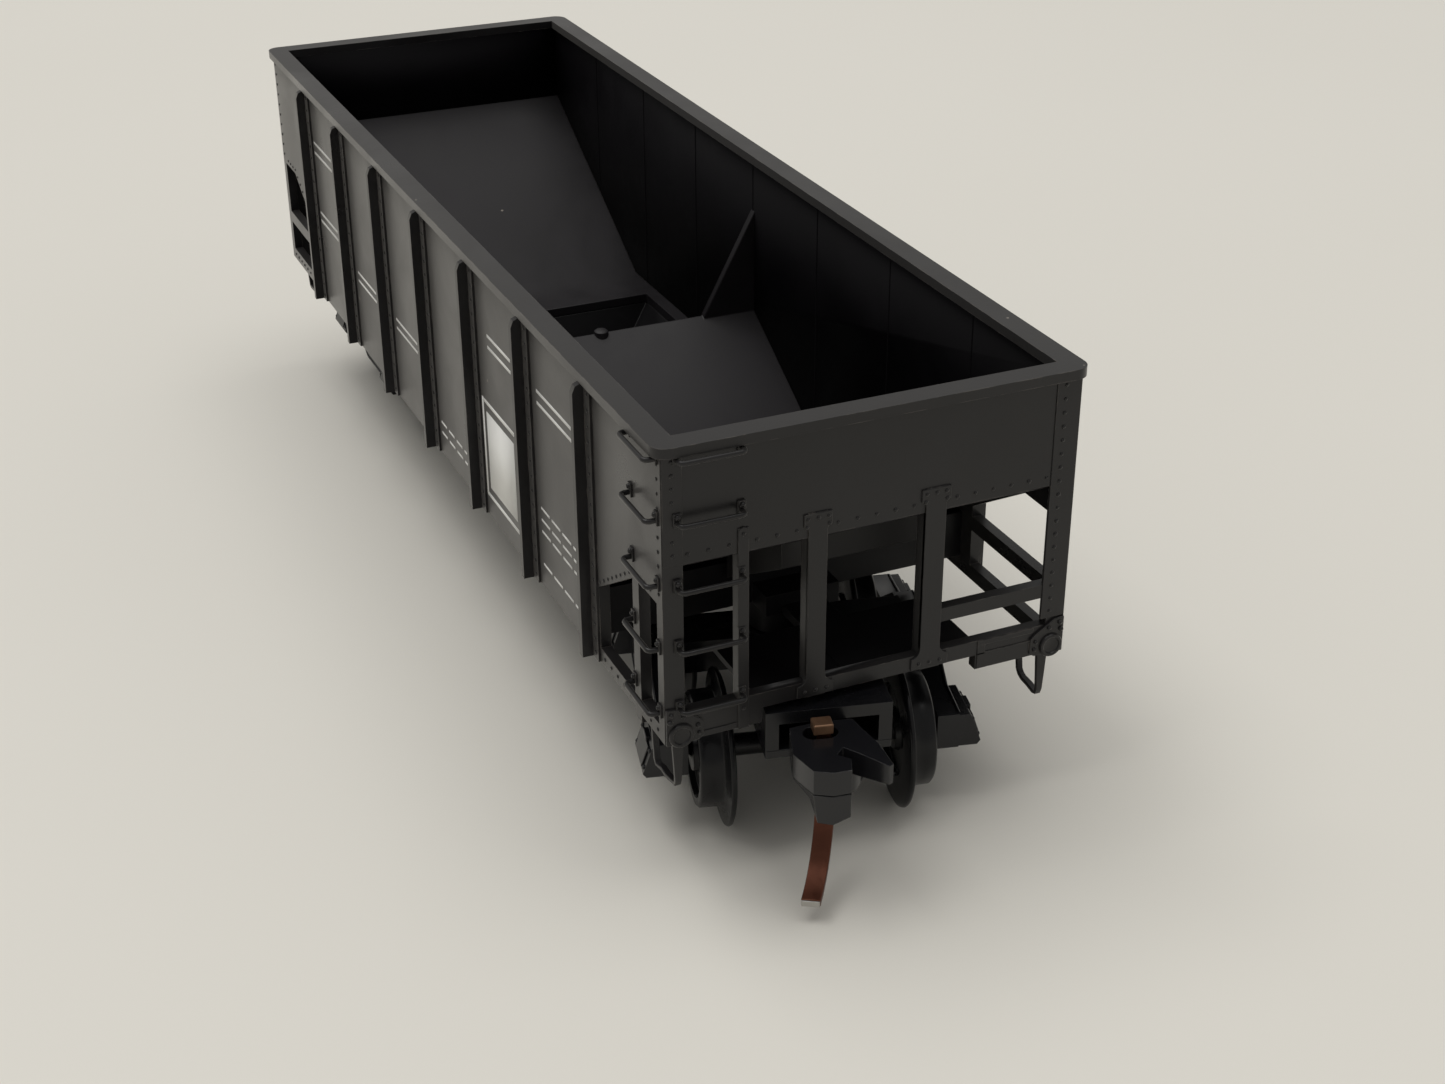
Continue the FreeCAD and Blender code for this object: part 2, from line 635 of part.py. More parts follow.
def slope_weight():
    """A steel plate against the underside of a slope sheet."""
    def under(x):
        return f"slope_top - {RISE} - ({INNER_X} - ({x})) / {RUN}"
    low = f"({HALF_LENGTH} - slope_weight_inset)"
    high = f"({HALF_LENGTH} - slope_weight_inset + slope_weight_length)"
    return prism("XZ_Plane", [
        (low, above(under(low))), (high, above(under(high))),
        (high, above(f"{under(high)} - slope_weight_wall")),
        (low, above(f"{under(low)} - slope_weight_wall"))],
        "0", "slope_weight_width")


# --------------------------------------------------------- ladders and steps

SIDE_RUNG_HEIGHTS = ["1.4", "4.4", "7.3", "10.2", "12.55"]
END_RUNG_HEIGHTS = ["1.63", "4.44", "7.2", "10.13", "12.55"]


def side_rung(height):
    """A rung on the side sheet, with a bracket at each end."""
    line = f"-({HALF_WIDTH} + rung_standoff)"
    inner = f"{HALF_LENGTH} - rung_inner_inset"
    outer = f"{HALF_LENGTH} - rung_outer_inset"
    pieces = [cylinder(f"{inner} - rung_bracket / 2", line, above(height), "rung_radius",
                       "rung_inner_inset - rung_outer_inset + rung_bracket", "x")]
    for x in (inner, outer):
        pieces.append(box(f"{x} - rung_bracket / 2", line, above(f"{height} - rung_radius"),
                          "rung_bracket", "rung_standoff", "2 * rung_radius"))
    return fuse(pieces)


def end_rung(height):
    """A rung on the end, with a bracket at the corner post and one at the stile post."""
    line = f"({HALF_LENGTH} + rung_standoff)"
    pieces = [cylinder(line, "-end_rung_outer - rung_bracket / 2", above(height), "rung_radius",
                       "end_rung_outer - end_rung_inner + rung_bracket", "y")]
    for y, face in (("-end_rung_outer", HALF_LENGTH),
                    ("-end_rung_inner", f"({HALF_LENGTH} + end_post_proud)")):
        if number(height) > number("end_post_top"):
            face = HALF_LENGTH
        pieces.append(box(face, f"{y} - rung_bracket / 2", above(f"{height} - rung_radius"),
                          f"{line} - {face}", "rung_bracket", "2 * rung_radius"))
    return fuse(pieces)


def stirrup_step(side):
    """A bent band under one corner of the A end."""
    outer = f"({HALF_LENGTH} - 0.1)"
    inner = f"({HALF_LENGTH} - step_inset)"
    heel = f"({inner} + 0.6)"
    middle = f"{side} * step_y"
    return prism("XZ_Plane", [
        (inner, "sill_z"), (heel, above("-step_drop + step_band")),
        (outer, above("-step_drop")), (outer, "sill_z"),
        (f"{outer} - step_band", "sill_z"),
        (f"{outer} - step_band", above("-step_drop + step_band")),
        (f"{heel} + step_band * 0.8", above("-step_drop + 2 * step_band")),
        (f"{inner} + step_band", "sill_z")],
        middle, "step_width")


# ------------------------------------------------------------------ the trucks
# Every truck piece is made in the truck's own frame and then put under its body bolster.

AXLE_Z = "flange_radius"
HALF_BASE = "wheel_base / 2"


def under_bolster(end, piece):
    """Puts a piece made in the truck's frame at the A end or the B end."""
    holder = wrap(piece)
    turn(holder, (0, 0, 1), "near_swivel" if end == "a" else "180 + far_swivel")
    place(holder, TRUCK_PIVOT if end == "a" else f"-{TRUCK_PIVOT}")
    return holder


def side_frame(side):
    """A cast-style side frame with its spring window and journal boxes."""
    half = [(f"{HALF_BASE} + 1.25", "3.05"), (f"{HALF_BASE} + 1.25", "4.75"),
            (f"{HALF_BASE} - 1.1", "4.85"), ("2.0", "6.3")]
    low = [("2.5", "1.95"), (f"{HALF_BASE} - 1.0", "3.0")]
    outline = half + [(f"-({x})", z) for x, z in reversed(half)]
    outline += [(f"-({x})", z) for x, z in reversed(low)] + low
    middle = f"{side} * (frame_inner_y + frame_outer_y) / 2"
    web = prism("XZ_Plane", outline, middle, "frame_outer_y - frame_inner_y")
    tools = [prism("XZ_Plane", [("-1.25", "2.75"), ("1.25", "2.75"), ("1.25", "4.6"),
                                ("-1.25", "4.6")], middle, "3")]
    for way in (1, -1):
        tools.append(prism("XZ_Plane", [
            (f"{way} * 2.0", "2.9"), (f"{way} * ({HALF_BASE} - 1.55)", "3.45"),
            (f"{way} * ({HALF_BASE} - 1.55)", "4.3"), (f"{way} * 2.0", "5.35")], middle, "3"))
    lids = []
    for way in (1, -1):
        lids.append(prism("YZ_Plane", [
            (f"{side} * (frame_outer_y - 0.1)", "3.1"),
            (f"{side} * (journal_box_y - 0.15)", "3.1"), (f"{side} * journal_box_y", "3.3"),
            (f"{side} * (journal_box_y - journal_box_slant)", "4.55"),
            (f"{side} * (journal_box_y - journal_box_slant - 0.1)", "4.7"),
            (f"{side} * (frame_outer_y - 0.1)", "4.7")],
            f"{way} * {HALF_BASE}", "journal_box_length"))
    springs = [cylinder(f"{way} * 0.55", middle, "2.7", "0.42", "2.0") for way in (1, -1)]
    return fuse([cut(web, tools)] + lids + springs)


def coupler_box():
    """The pocket at the front of the truck, open at its front and below, with its post."""
    depth = "box_roof_z - box_lid_z"
    shell = cut(slab("box_back", "box_width", "box_lid_z", "box_front - box_back", depth),
                [slab("box_back + box_wall", "box_width - 2 * box_wall", "box_lid_z - 1",
                      "box_front - box_back", f"{depth} + 1 - box_wall")])
    post = cylinder("post_x", "0", "box_lid_z + 0.03", "post_radius",
                    f"{depth} - box_wall / 2")
    return [shell, post]


def truck_frame():
    """Bolster, side frames, tongue and coupler box in one moulding."""
    low = "truck_bolster_top - truck_bolster_drop"
    solids = [
        slab("-truck_bolster_width / 2", "2 * frame_inner_y + 0.2", low,
             "truck_bolster_width", "truck_bolster_drop"),
        cylinder("0", "0", low, "centre_plate + 0.2", "truck_bolster_drop + bowl_rise"),
        slab("1", "3.4", "box_lid_z - box_lid_wall", "box_back - 1", "1.0"),
        side_frame(1), side_frame(-1)] + coupler_box()
    bores = [cylinder("0", "0", f"{low} - 1", "kingpin_radius + kingpin_clear",
                      "truck_bolster_drop + bowl_rise + 2")]
    for way in (1, -1):
        for side in (1, -1):
            start = "frame_inner_y - 0.1" if side > 0 else "-journal_end - 0.1"
            bores.append(cylinder(f"{way} * {HALF_BASE}", start, AXLE_Z,
                                  "journal_radius + journal_clear",
                                  "journal_end + 0.2 - frame_inner_y", "y"))
    return cut(fuse(solids), bores)


def wheelset(way):
    """Two dished wheels with deep flanges and their axle, in one moulding."""
    half = [("journal_end", "0"), ("journal_end", "journal_radius"),
            ("wheel_face + 0.15", "journal_radius"), ("wheel_face + 0.05", "axle_radius"),
            ("wheel_face + 0.05", "0.95"),
            ("wheel_face - 0.3", "1.05"), ("wheel_face - 0.3", "tread_radius - 0.55"),
            ("wheel_face", "tread_radius - 0.45"), ("wheel_face", "tread_radius - 0.12"),
            ("wheel_face - 0.1", "tread_radius - 0.03"),
            ("wheel_back + flange_width + 0.08", "tread_radius"),
            ("wheel_back + flange_width - 0.04", "tread_radius + 0.12"),
            ("wheel_back + 0.27", "flange_radius - 0.05"),
            ("wheel_back + 0.18", "flange_radius"), ("wheel_back + 0.08", "flange_radius - 0.03"),
            ("wheel_back", "flange_radius - 0.2"), ("wheel_back", "tread_radius - 0.5"),
            ("wheel_back + 0.25", "tread_radius - 0.6"), ("wheel_back + 0.25", "1.0"),
            ("wheel_back", "0.9"), ("wheel_back", "axle_radius")]
    outline = half + [(f"-({y})", r) for y, r in reversed(half)]
    return spun(outline, f"{way} * {HALF_BASE}", "0", AXLE_Z)


def kingpin():
    """A headed pin, pressed into the centre plate from below."""
    low = "truck_bolster_top - truck_bolster_drop"
    return fuse([cylinder("0", "0", f"{low} - 0.45", "kingpin_head", "0.4"),
                 cylinder("0", "0", f"{low} - 0.1", "kingpin_radius",
                          "truck_bolster_drop + bowl_rise + bowl_gap + kingpin_grip + 0.1")])


def box_lid():
    """The plate that closes the coupler box from below."""
    return slab("box_back", "box_width", "box_lid_z - box_lid_wall", "box_front - box_back",
                "box_lid_wall")


# The coupler head from above: back, knuckle side, knuckle front, mouth, guard arm.
HEAD_OUTLINE = [
    ("10.2", "-0.75"), ("10.45", "-1.95"), ("11.9", "-2.15"), ("13.3", "-2.25"),
    ("13.75", "-1.85"), ("14.0", "-1.1"), ("13.9", "-0.1"), ("13.1", "0.05"),
    ("12.7", "-0.45"), ("12.25", "-0.1"), ("12.4", "0.75"), ("13.95", "1.55"),
    ("13.8", "1.85"), ("12.3", "1.6"), ("11.2", "1.05"), ("10.2", "0.75")]


def coupler_half(upper):
    """Half of a coupler: the eye round the post, the shank and half of the head."""
    low = "coupler_z + seam_gap" if upper else "coupler_z - seam_gap - shank_wall"
    head_low = "coupler_z + seam_gap" if upper else "coupler_z - seam_gap - head_half"
    solids = [
        cylinder("post_x", "0", low, "shank_eye", "shank_wall"),
        slab("post_x", "shank_width", low, "10.6 - post_x", "shank_wall"),
        prism("XY_Plane", HEAD_OUTLINE, f"{head_low} + head_half / 2", "head_half")]
    pocket = "2 * (spring_radius + spring_wire + spring_clear)"
    if not upper:
        pocket = f"{pocket} + 0.6"
    tools = [
        cylinder("post_x", "0", f"{low} - 1", "post_radius + post_clear", "3"),
        slab("spring_start", pocket, f"{low} - 1", "spring_length + 2 * spring_clear", "3"),
        cylinder("pin_x", "pin_y", f"{head_low} - 1", "pin_hole", "4")]
    if upper:
        tools.append(box("pin_x - pin_hole", "pin_y - pin_play", f"{head_low} - 1",
                         "2 * pin_hole", "pin_play", "4"))
        tools.append(cylinder("pin_x", "pin_y - pin_play", f"{head_low} - 1", "pin_hole", "4"))
    return cut(fuse(solids), tools)


def coupler_spring():
    """A close-wound spring in the pocket of the shank."""
    start = number("spring_start + spring_clear + spring_wire")
    length = number("spring_length - 2 * spring_wire")
    radius, wire = number("spring_radius"), number("spring_wire")
    path = Part.Wire(Part.makeHelix(number("spring_pitch"), length, radius))
    ring = Part.Wire(Part.makeCircle(wire, FreeCAD.Vector(radius, 0, 0), FreeCAD.Vector(0, 1, 0)))
    coil = path.makePipeShell([ring], True, True)
    piece = doc.addObject("Part::Feature", "coil")
    piece.Shape = coil
    piece.Placement = FreeCAD.Placement(
        FreeCAD.Vector(start, 0, number("coupler_z")),
        FreeCAD.Rotation(FreeCAD.Vector(0, 1, 0), 90))
    return piece


def trip_pin():
    """A flat strip that drops through the coupler head and bends forward."""
    body = doc.addObject("PartDesign::Body", "trip_pin")
    section = sketch(body, "XY_Plane", [
        ("-pin_wall / 2", "-pin_width / 2"), ("pin_wall / 2", "-pin_width / 2"),
        ("pin_wall / 2", "pin_width / 2"), ("-pin_wall / 2", "pin_width / 2")])
    spine = body.newObject("Sketcher::SketchObject", "spine")
    plane = [item for item in body.Origin.OriginFeatures if item.Role == "XZ_Plane"][0]
    spine.AttachmentSupport = [(plane, "")]
    spine.MapMode = "FlatFace"
    drop = number("pin_top - pin_bend_z")
    radius, sweep = number("pin_bend"), math.radians(number("pin_sweep"))
    corner = FreeCAD.Vector(0, -drop, 0)
    middle = FreeCAD.Vector(radius, -drop, 0)
    spine.addGeometry(Part.LineSegment(FreeCAD.Vector(0, 0, 0), corner))
    circle = Part.Circle(middle, FreeCAD.Vector(0, 0, 1), radius)
    spine.addGeometry(Part.ArcOfCircle(circle, math.pi, math.pi + sweep))
    rules = [
        Sketcher.Constraint("Coincident", 0, 1, -1, 1),
        Sketcher.Constraint("Vertical", 0),
        Sketcher.Constraint("Tangent", 0, 2, 1, 1)]
    spine.addConstraint(rules)
    bound = [
        (Sketcher.Constraint("DistanceY", 0, 2, 0, 1, drop), "pin_top - pin_bend_z"),
        (Sketcher.Constraint("Radius", 1, radius), "pin_bend"),
        (Sketcher.Constraint("DistanceX", 1, 1, 1, 2, radius * (1 - math.cos(sweep))),
         "pin_bend * (1 - cos(pin_sweep))")]
    for rule, formula in bound:
        index = spine.addConstraint(rule)
        spine.setExpression(f"Constraints[{index}]", expression(formula))
    pipe = body.newObject("PartDesign::AdditivePipe", "strip")
    pipe.Profile = section
    pipe.Spine = (spine, ["Edge1", "Edge2"])
    place(body, "pin_x", "pin_y", "pin_top")
    holder = wrap(body)
    body.Placement.Rotation = FreeCAD.Rotation(FreeCAD.Vector(0, 0, 1), number("pin_yaw"))
    body.setExpression("Placement.Rotation.Angle", expression("pin_yaw"))
    return holder


def add_truck(end):
    """One truck with its wheelsets, kingpin and coupler."""
    pieces = {
        "truck_frame": truck_frame(),
        "outer_wheelset": wheelset(1),
        "inner_wheelset": wheelset(-1),
        "kingpin": kingpin(),
        "coupler_box_lid": box_lid(),
        "coupler_upper": coupler_half(True),
        "coupler_lower": coupler_half(False),
        "coupler_spring": coupler_spring(),
        "trip_pin": trip_pin()}
    for name, piece in pieces.items():
        keep(f"{name}_{end}", under_bolster(end, piece))


# --------------------------------------------------------------- brake gear
# Made for the A end's side of the car and then turned round to the B end.

def brake_wheel():
    """A rim, hub and six spokes, upright in front of the end."""
    x = f"{HALF_LENGTH} + brake_standoff"
    z = above("brake_z")
    rim = doc.addObject("Part::Torus", "rim")
    bind(rim, Radius1="brake_wheel_radius", Radius2="brake_rim")
    rim.Placement.Rotation = FreeCAD.Rotation(FreeCAD.Vector(0, 1, 0), 90)
    place(rim, x, "brake_y", z)
    solids = [rim, cylinder(f"{x} - 0.25", "brake_y", z, "0.38", "0.5", "x")]
    for i in range(6):
        spoke = doc.addObject("Part::Cylinder", "spoke")
        bind(spoke, Radius="0.11", Height="brake_wheel_radius")
        spoke.Placement.Rotation = FreeCAD.Rotation(FreeCAD.Vector(1, 0, 0), 60 * i)
        place(spoke, x, "brake_y", z)
        solids.append(spoke)
    return fuse(solids)


def brake_housing():
    """The gear case behind the brake wheel, its shaft, and the rod that runs down from it."""
    z = above("brake_z")
    case = box(HALF_LENGTH, "brake_y - housing_width / 2", above("brake_z - 0.9"),
               "housing_depth", "housing_width", "1.6")
    shaft = cylinder(f"{HALF_LENGTH} + housing_depth", "brake_y", z, "0.2",
                     "brake_standoff - 0.25 - housing_depth", "x")
    rod = cylinder(f"{HALF_LENGTH} + 0.35", "brake_y", above("0.9"), "rod_radius",
                   "brake_z - 0.9 - 0.8")
    return fuse([case, shaft, rod])


def brake_step():
    """A small platform under the brake wheel, clear of the rod, with two brackets."""
    low = above("brake_step_z")
    plate = box(f"{HALF_LENGTH} + end_post_proud", "stile_post_y + stile_post_width / 2",
                low, "1.25", "left_post_y + left_post_width / 2 - stile_post_y"
                " - stile_post_width / 2", "0.22")
    slot = box(f"{HALF_LENGTH} + 0.1", "brake_y - 0.35", f"{low} - 1", "0.6", "0.7", "2")
    bracket = box(f"{HALF_LENGTH} + end_post_proud", "left_post_y - 0.12", f"{low} - 0.8",
                  "0.6", "0.24", "0.9")
    return cut(fuse([plate, bracket]), [slot])


def air_reservoir():
    """A drum lying across the end platform, on two feet."""
    floor = above("draft_sill_z + 0.1 + platform_wall")
    centre = f"{floor} + reservoir_radius + 0.25"
    y = "-4.9"
    x = f"{HALF_LENGTH} - 2.76"
    drum = cylinder(x, y, centre, "reservoir_radius", "reservoir_length", "y")
    feet = [box(f"{x} - 0.4", f"{y} + {along}", floor, "0.8", "0.4", "reservoir_radius")
            for along in ("0.6", "reservoir_length - 1.0")]
    return fuse([drum] + feet)


def brake_cylinder():
    """A stepped cylinder along the car, on a foot."""
    floor = above("draft_sill_z + 0.1 + platform_wall")
    centre = f"{floor} + cylinder_radius + 0.15"
    x = f"{HALF_LENGTH} - 4.06"
    return fuse([
        cylinder(x, "3.6", centre, "cylinder_radius", "cylinder_length", "x"),
        cylinder(f"{x} + cylinder_length", "3.6", centre, "cylinder_radius * 0.55", "0.5", "x"),
        box(f"{x} + 0.3", "3.2", floor, "1.6", "0.8", "cylinder_radius")])


def brake_valve():
    """The control valve block with its round cap."""
    floor = above("draft_sill_z + draft_sill_height")
    side = "valve_size"
    x = f"{HALF_LENGTH} - 3.76"
    return fuse([
        box(x, f"0.85 - {side} / 2", floor, side, side, f"{side} * 0.8"),
        cylinder(f"{x} + valve_size / 2", "0.85", f"{floor} + {side} * 0.7",
                 "valve_size * 0.3", "0.7")])


# ------------------------------------------------------------- build the car

keep("body_shell", body_shell())
keep("hopper_floor", hopper_floor())
for end in ("a", "b"):
    keep(f"outlet_bay_{end}", outlet_bay(end))
    keep(f"outlet_doors_{end}", outlet_doors(end))
keep("underframe", underframe())
keep("ridge_weight", ridge_weight())
for end in ("a", "b"):
    keep(f"slope_weight_{end}", at_end(end, slope_weight()))
    keep(f"side_ladder_{end}", at_end(end, group([side_rung(z) for z in SIDE_RUNG_HEIGHTS])))
    keep(f"end_ladder_{end}", at_end(end, group([end_rung(z) for z in END_RUNG_HEIGHTS])))
keep("stirrup_steps", group(both_ends(lambda: stirrup_step(1))
                            + both_ends(lambda: stirrup_step(-1))))
for end in ("a", "b"):
    add_truck(end)
for name, maker in (("brake_wheel", brake_wheel), ("brake_housing", brake_housing),
                    ("brake_step", brake_step), ("air_reservoir", air_reservoir),
                    ("brake_cylinder", brake_cylinder), ("brake_valve", brake_valve)):
    keep(name, at_end("b", maker()))

doc.recompute()

for thing in doc.Objects:
    if "Invalid" in thing.State or "Error" in thing.State:
        raise RuntimeError(f"{thing.Name} ({thing.Label}) didn't compute: {thing.State}")
for name, thing in parts.items():
    if thing.Shape.isNull() or not thing.Shape.isValid() or not thing.Shape.Solids:
        raise RuntimeError(f"{name} has no valid solid")

os.makedirs("parts", exist_ok=True)
for name, thing in parts.items():
    thing.Shape.exportStep(f"parts/{name}.step")
    print(f"{name}: {len(thing.Shape.Solids)} solids, {thing.Shape.Volume:.2f} mm3")
print(f"{len(parts)} nodes")
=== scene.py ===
import json
import math

import bmesh
import bpy
from mathutils import Matrix, Vector

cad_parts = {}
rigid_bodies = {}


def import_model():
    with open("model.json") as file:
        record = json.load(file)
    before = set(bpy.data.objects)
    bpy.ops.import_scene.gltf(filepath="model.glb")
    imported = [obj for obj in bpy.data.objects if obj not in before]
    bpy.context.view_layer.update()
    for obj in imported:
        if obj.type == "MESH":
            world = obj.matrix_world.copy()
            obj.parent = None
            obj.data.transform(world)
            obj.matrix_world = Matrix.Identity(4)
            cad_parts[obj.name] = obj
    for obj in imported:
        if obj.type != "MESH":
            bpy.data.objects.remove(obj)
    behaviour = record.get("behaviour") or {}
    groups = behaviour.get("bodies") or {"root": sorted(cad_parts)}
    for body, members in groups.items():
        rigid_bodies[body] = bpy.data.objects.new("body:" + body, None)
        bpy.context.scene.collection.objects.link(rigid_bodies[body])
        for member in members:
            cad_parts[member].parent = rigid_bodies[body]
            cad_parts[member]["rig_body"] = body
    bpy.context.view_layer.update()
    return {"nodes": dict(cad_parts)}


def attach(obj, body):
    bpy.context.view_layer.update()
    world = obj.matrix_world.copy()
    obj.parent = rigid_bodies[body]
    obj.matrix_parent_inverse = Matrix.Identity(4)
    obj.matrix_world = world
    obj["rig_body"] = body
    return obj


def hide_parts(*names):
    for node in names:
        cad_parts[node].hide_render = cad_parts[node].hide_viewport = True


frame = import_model()

# Pieces are made in millimetres, in the car's own frame, and brought to metres when they are done.
# The floor is z = 0 and the A end is towards +x.
MM = 0.001
SILL = 7.3                          # lower edge of the side sills, above the floor
CHORD = 13.0                        # underside of the top chord, above the sills
FACE = 31.36                        # outside of the end sheets, from the middle of the car
HALF_WIDTH = 9.4                    # outside of the side sheets
RIBS = tuple(7.77 * i for i in range(-3, 4))
PIVOT_X = {"a": 22.95, "b": -22.95}
SWIVEL = {"a": -13.9, "b": 180.0}   # how far each truck stands turned, in degrees
EDGE_WIDTH = 0.00006                # rubbed edges, in metres

scene = bpy.context.scene


# ---------------------------------------------------------------- shader groups

def node_group(name, inputs, outputs):
    """An empty shader group with named sockets; inputs map a name to (kind, default)."""
    tree = bpy.data.node_groups.new(name, "ShaderNodeTree")
    for label, (kind, default) in inputs.items():
        socket = tree.interface.new_socket(label, in_out="INPUT", socket_type=f"NodeSocket{kind}")
        if default is not None:
            socket.default_value = default
    for label, kind in outputs.items():
        tree.interface.new_socket(label, in_out="OUTPUT", socket_type=f"NodeSocket{kind}")
    return tree, tree.nodes.new("NodeGroupInput"), tree.nodes.new("NodeGroupOutput")


def add(tree, kind, settings=None, **links):
    """A node with its settings; links gives its inputs by name, or by number as i0, i1 and so on."""
    node = tree.nodes.new(kind)
    for key, value in (settings or {}).items():
        setattr(node, key, value)
    for key, value in links.items():
        socket = node.inputs[int(key[1:])] if key[1:].isdigit() else node.inputs[key.replace("_", " ")]
        if isinstance(value, bpy.types.NodeSocket):
            tree.links.new(value, socket)
        else:
            socket.default_value = value
    return node


def maths(tree, operation, first, second=0.0, clamp=False):
    return add(tree, "ShaderNodeMath", {"operation": operation, "use_clamp": clamp},
               i0=first, i1=second).outputs[0]


def blend_colour(tree, amount, under, over):
    return add(tree, "ShaderNodeMix", {"data_type": "RGBA"}, i0=amount, i6=under, i7=over).outputs[2]


def ramp(tree, value, low, high):
    """0 below low, 1 above high."""
    return add(tree, "ShaderNodeMapRange", {"interpolation_type": "SMOOTHSTEP"}, Value=value,
               From_Min=low, From_Max=high).outputs[0]


def rubbed_edge_group():
    """A mask that is 1 where an edge has been rubbed, broken up along its length."""
    tree, inp, out = node_group("rubbed_edge", {
        "Place": ("Vector", None), "Width": ("Float", EDGE_WIDTH), "Breaks": ("Float", 900.0)},
        {"Mask": "Float"})
    soft = add(tree, "ShaderNodeBevel", {"samples": 4}, Radius=inp.outputs["Width"])
    flat = add(tree, "ShaderNodeNewGeometry")
    facing = add(tree, "ShaderNodeVectorMath", {"operation": "DOT_PRODUCT"},
                 i0=soft.outputs[0], i1=flat.outputs["Normal"])
    edge = ramp(tree, maths(tree, "SUBTRACT", 1.0, facing.outputs["Value"]), 0.02, 0.16)
    noise = add(tree, "ShaderNodeTexNoise", Vector=inp.outputs["Place"],
                Scale=inp.outputs["Breaks"], Detail=3.0, Roughness=0.6)
    broken = ramp(tree, noise.outputs["Fac"], 0.47, 0.63)
    tree.links.new(maths(tree, "MULTIPLY", edge, broken), out.inputs["Mask"])
    return tree


def specks_group():
    """A mask of scattered pale specks, as of dust and lint, no two alike."""
    tree, inp, out = node_group("specks", {
        "Place": ("Vector", None), "Scale": ("Float", 700.0), "Share": ("Float", 0.1)},
        {"Mask": "Float"})
    bent = add(tree, "ShaderNodeTexNoise", Vector=inp.outputs["Place"], Scale=600.0, Detail=2.0)
    shifted = add(tree, "ShaderNodeVectorMath", {"operation": "MULTIPLY_ADD"},
                  i0=bent.outputs["Color"], i1=(0.0006, 0.0006, 0.0006), i2=inp.outputs["Place"])
    cells = add(tree, "ShaderNodeTexVoronoi", Vector=shifted.outputs[0], Scale=inp.outputs["Scale"])
    size = add(tree, "ShaderNodeSeparateColor", Color=cells.outputs["Color"])
    reach = maths(tree, "MULTIPLY", size.outputs[1], 0.08)
    dot = maths(tree, "LESS_THAN", cells.outputs["Distance"], reach)
    chosen = maths(tree, "LESS_THAN", size.outputs[0], inp.outputs["Share"])
    faint = maths(tree, "MULTIPLY", dot, 0.5)
    tree.links.new(maths(tree, "MULTIPLY", faint, chosen), out.inputs["Mask"])
    return tree


def grain_group():
    """A moulded surface: fine pebble and flow marks as a height, and the flow marks as a tone."""
    tree, inp, out = node_group("moulded_grain", {
        "Place": ("Vector", None), "Pebble": ("Float", 6000.0), "Flow": ("Float", 160.0)},
        {"Height": "Float", "Tone": "Float"})
    pebble = add(tree, "ShaderNodeTexNoise", Vector=inp.outputs["Place"],
                 Scale=inp.outputs["Pebble"], Detail=2.0, Roughness=0.5)
    flow = add(tree, "ShaderNodeTexNoise", Vector=inp.outputs["Place"],
               Scale=inp.outputs["Flow"], Detail=4.0, Roughness=0.55, Distortion=0.4)
    fine = maths(tree, "MULTIPLY", pebble.outputs["Fac"], 0.6)
    tree.links.new(maths(tree, "ADD", fine, maths(tree, "MULTIPLY", flow.outputs["Fac"], 0.4)),
                   out.inputs["Height"])
    tree.links.new(ramp(tree, flow.outputs["Fac"], 0.3, 0.7), out.inputs["Tone"])
    return tree


RUBBED_EDGE = rubbed_edge_group()
SPECKS = specks_group()
GRAIN = grain_group()


def moulded(name, colour, rough, rubbed, dust=0.06, spec=0.5, relief=0.15, pebble=6000.0, flow=160.0,
            metal=0.0, sheen=0.0):
    """Moulded plastic or plain metal with grain, rubbed edges and dust."""
    material = bpy.data.materials.new(name)
    material.use_nodes = True
    tree = material.node_tree
    shader = tree.nodes["Principled BSDF"]
    place = add(tree, "ShaderNodeTexCoord").outputs["Object"]
    grain = add(tree, "ShaderNodeGroup", {"node_tree": GRAIN}, Place=place, Pebble=pebble, Flow=flow)
    edge = add(tree, "ShaderNodeGroup", {"node_tree": RUBBED_EDGE}, Place=place, Width=EDGE_WIDTH)
    specks = add(tree, "ShaderNodeGroup", {"node_tree": SPECKS}, Place=place, Share=dust)
    lighter = tuple(min(1.0, c * 1.35 + 0.002) for c in colour) + (1.0,)
    base = blend_colour(tree, grain.outputs["Tone"], (*colour, 1.0), lighter)
    base = blend_colour(tree, edge.outputs["Mask"], base, (*rubbed, 1.0))
    base = blend_colour(tree, specks.outputs["Mask"], base, (0.42, 0.38, 0.33, 1.0))
    tree.links.new(base, shader.inputs["Base Color"])
    dull = add(tree, "ShaderNodeMapRange", Value=grain.outputs["Tone"], To_Min=max(0.05, rough - 0.06),
               To_Max=min(1.0, rough + 0.08))
    duller = maths(tree, "MULTIPLY", specks.outputs["Mask"], 0.4)
    tree.links.new(maths(tree, "ADD", dull.outputs[0], duller, clamp=True), shader.inputs["Roughness"])
    bump = add(tree, "ShaderNodeBump", Strength=relief, Distance=0.00002, Height=grain.outputs["Height"])
    tree.links.new(bump.outputs[0], shader.inputs["Normal"])
    shader.inputs["Specular IOR Level"].default_value = spec
    shader.inputs["Metallic"].default_value = metal
    shader.inputs["Sheen Weight"].default_value = sheen
    shader.inputs["Sheen Roughness"].default_value = 0.4
    shader.inputs["Sheen Tint"].default_value = (1.0, 0.96, 0.90, 1.0)
    return material


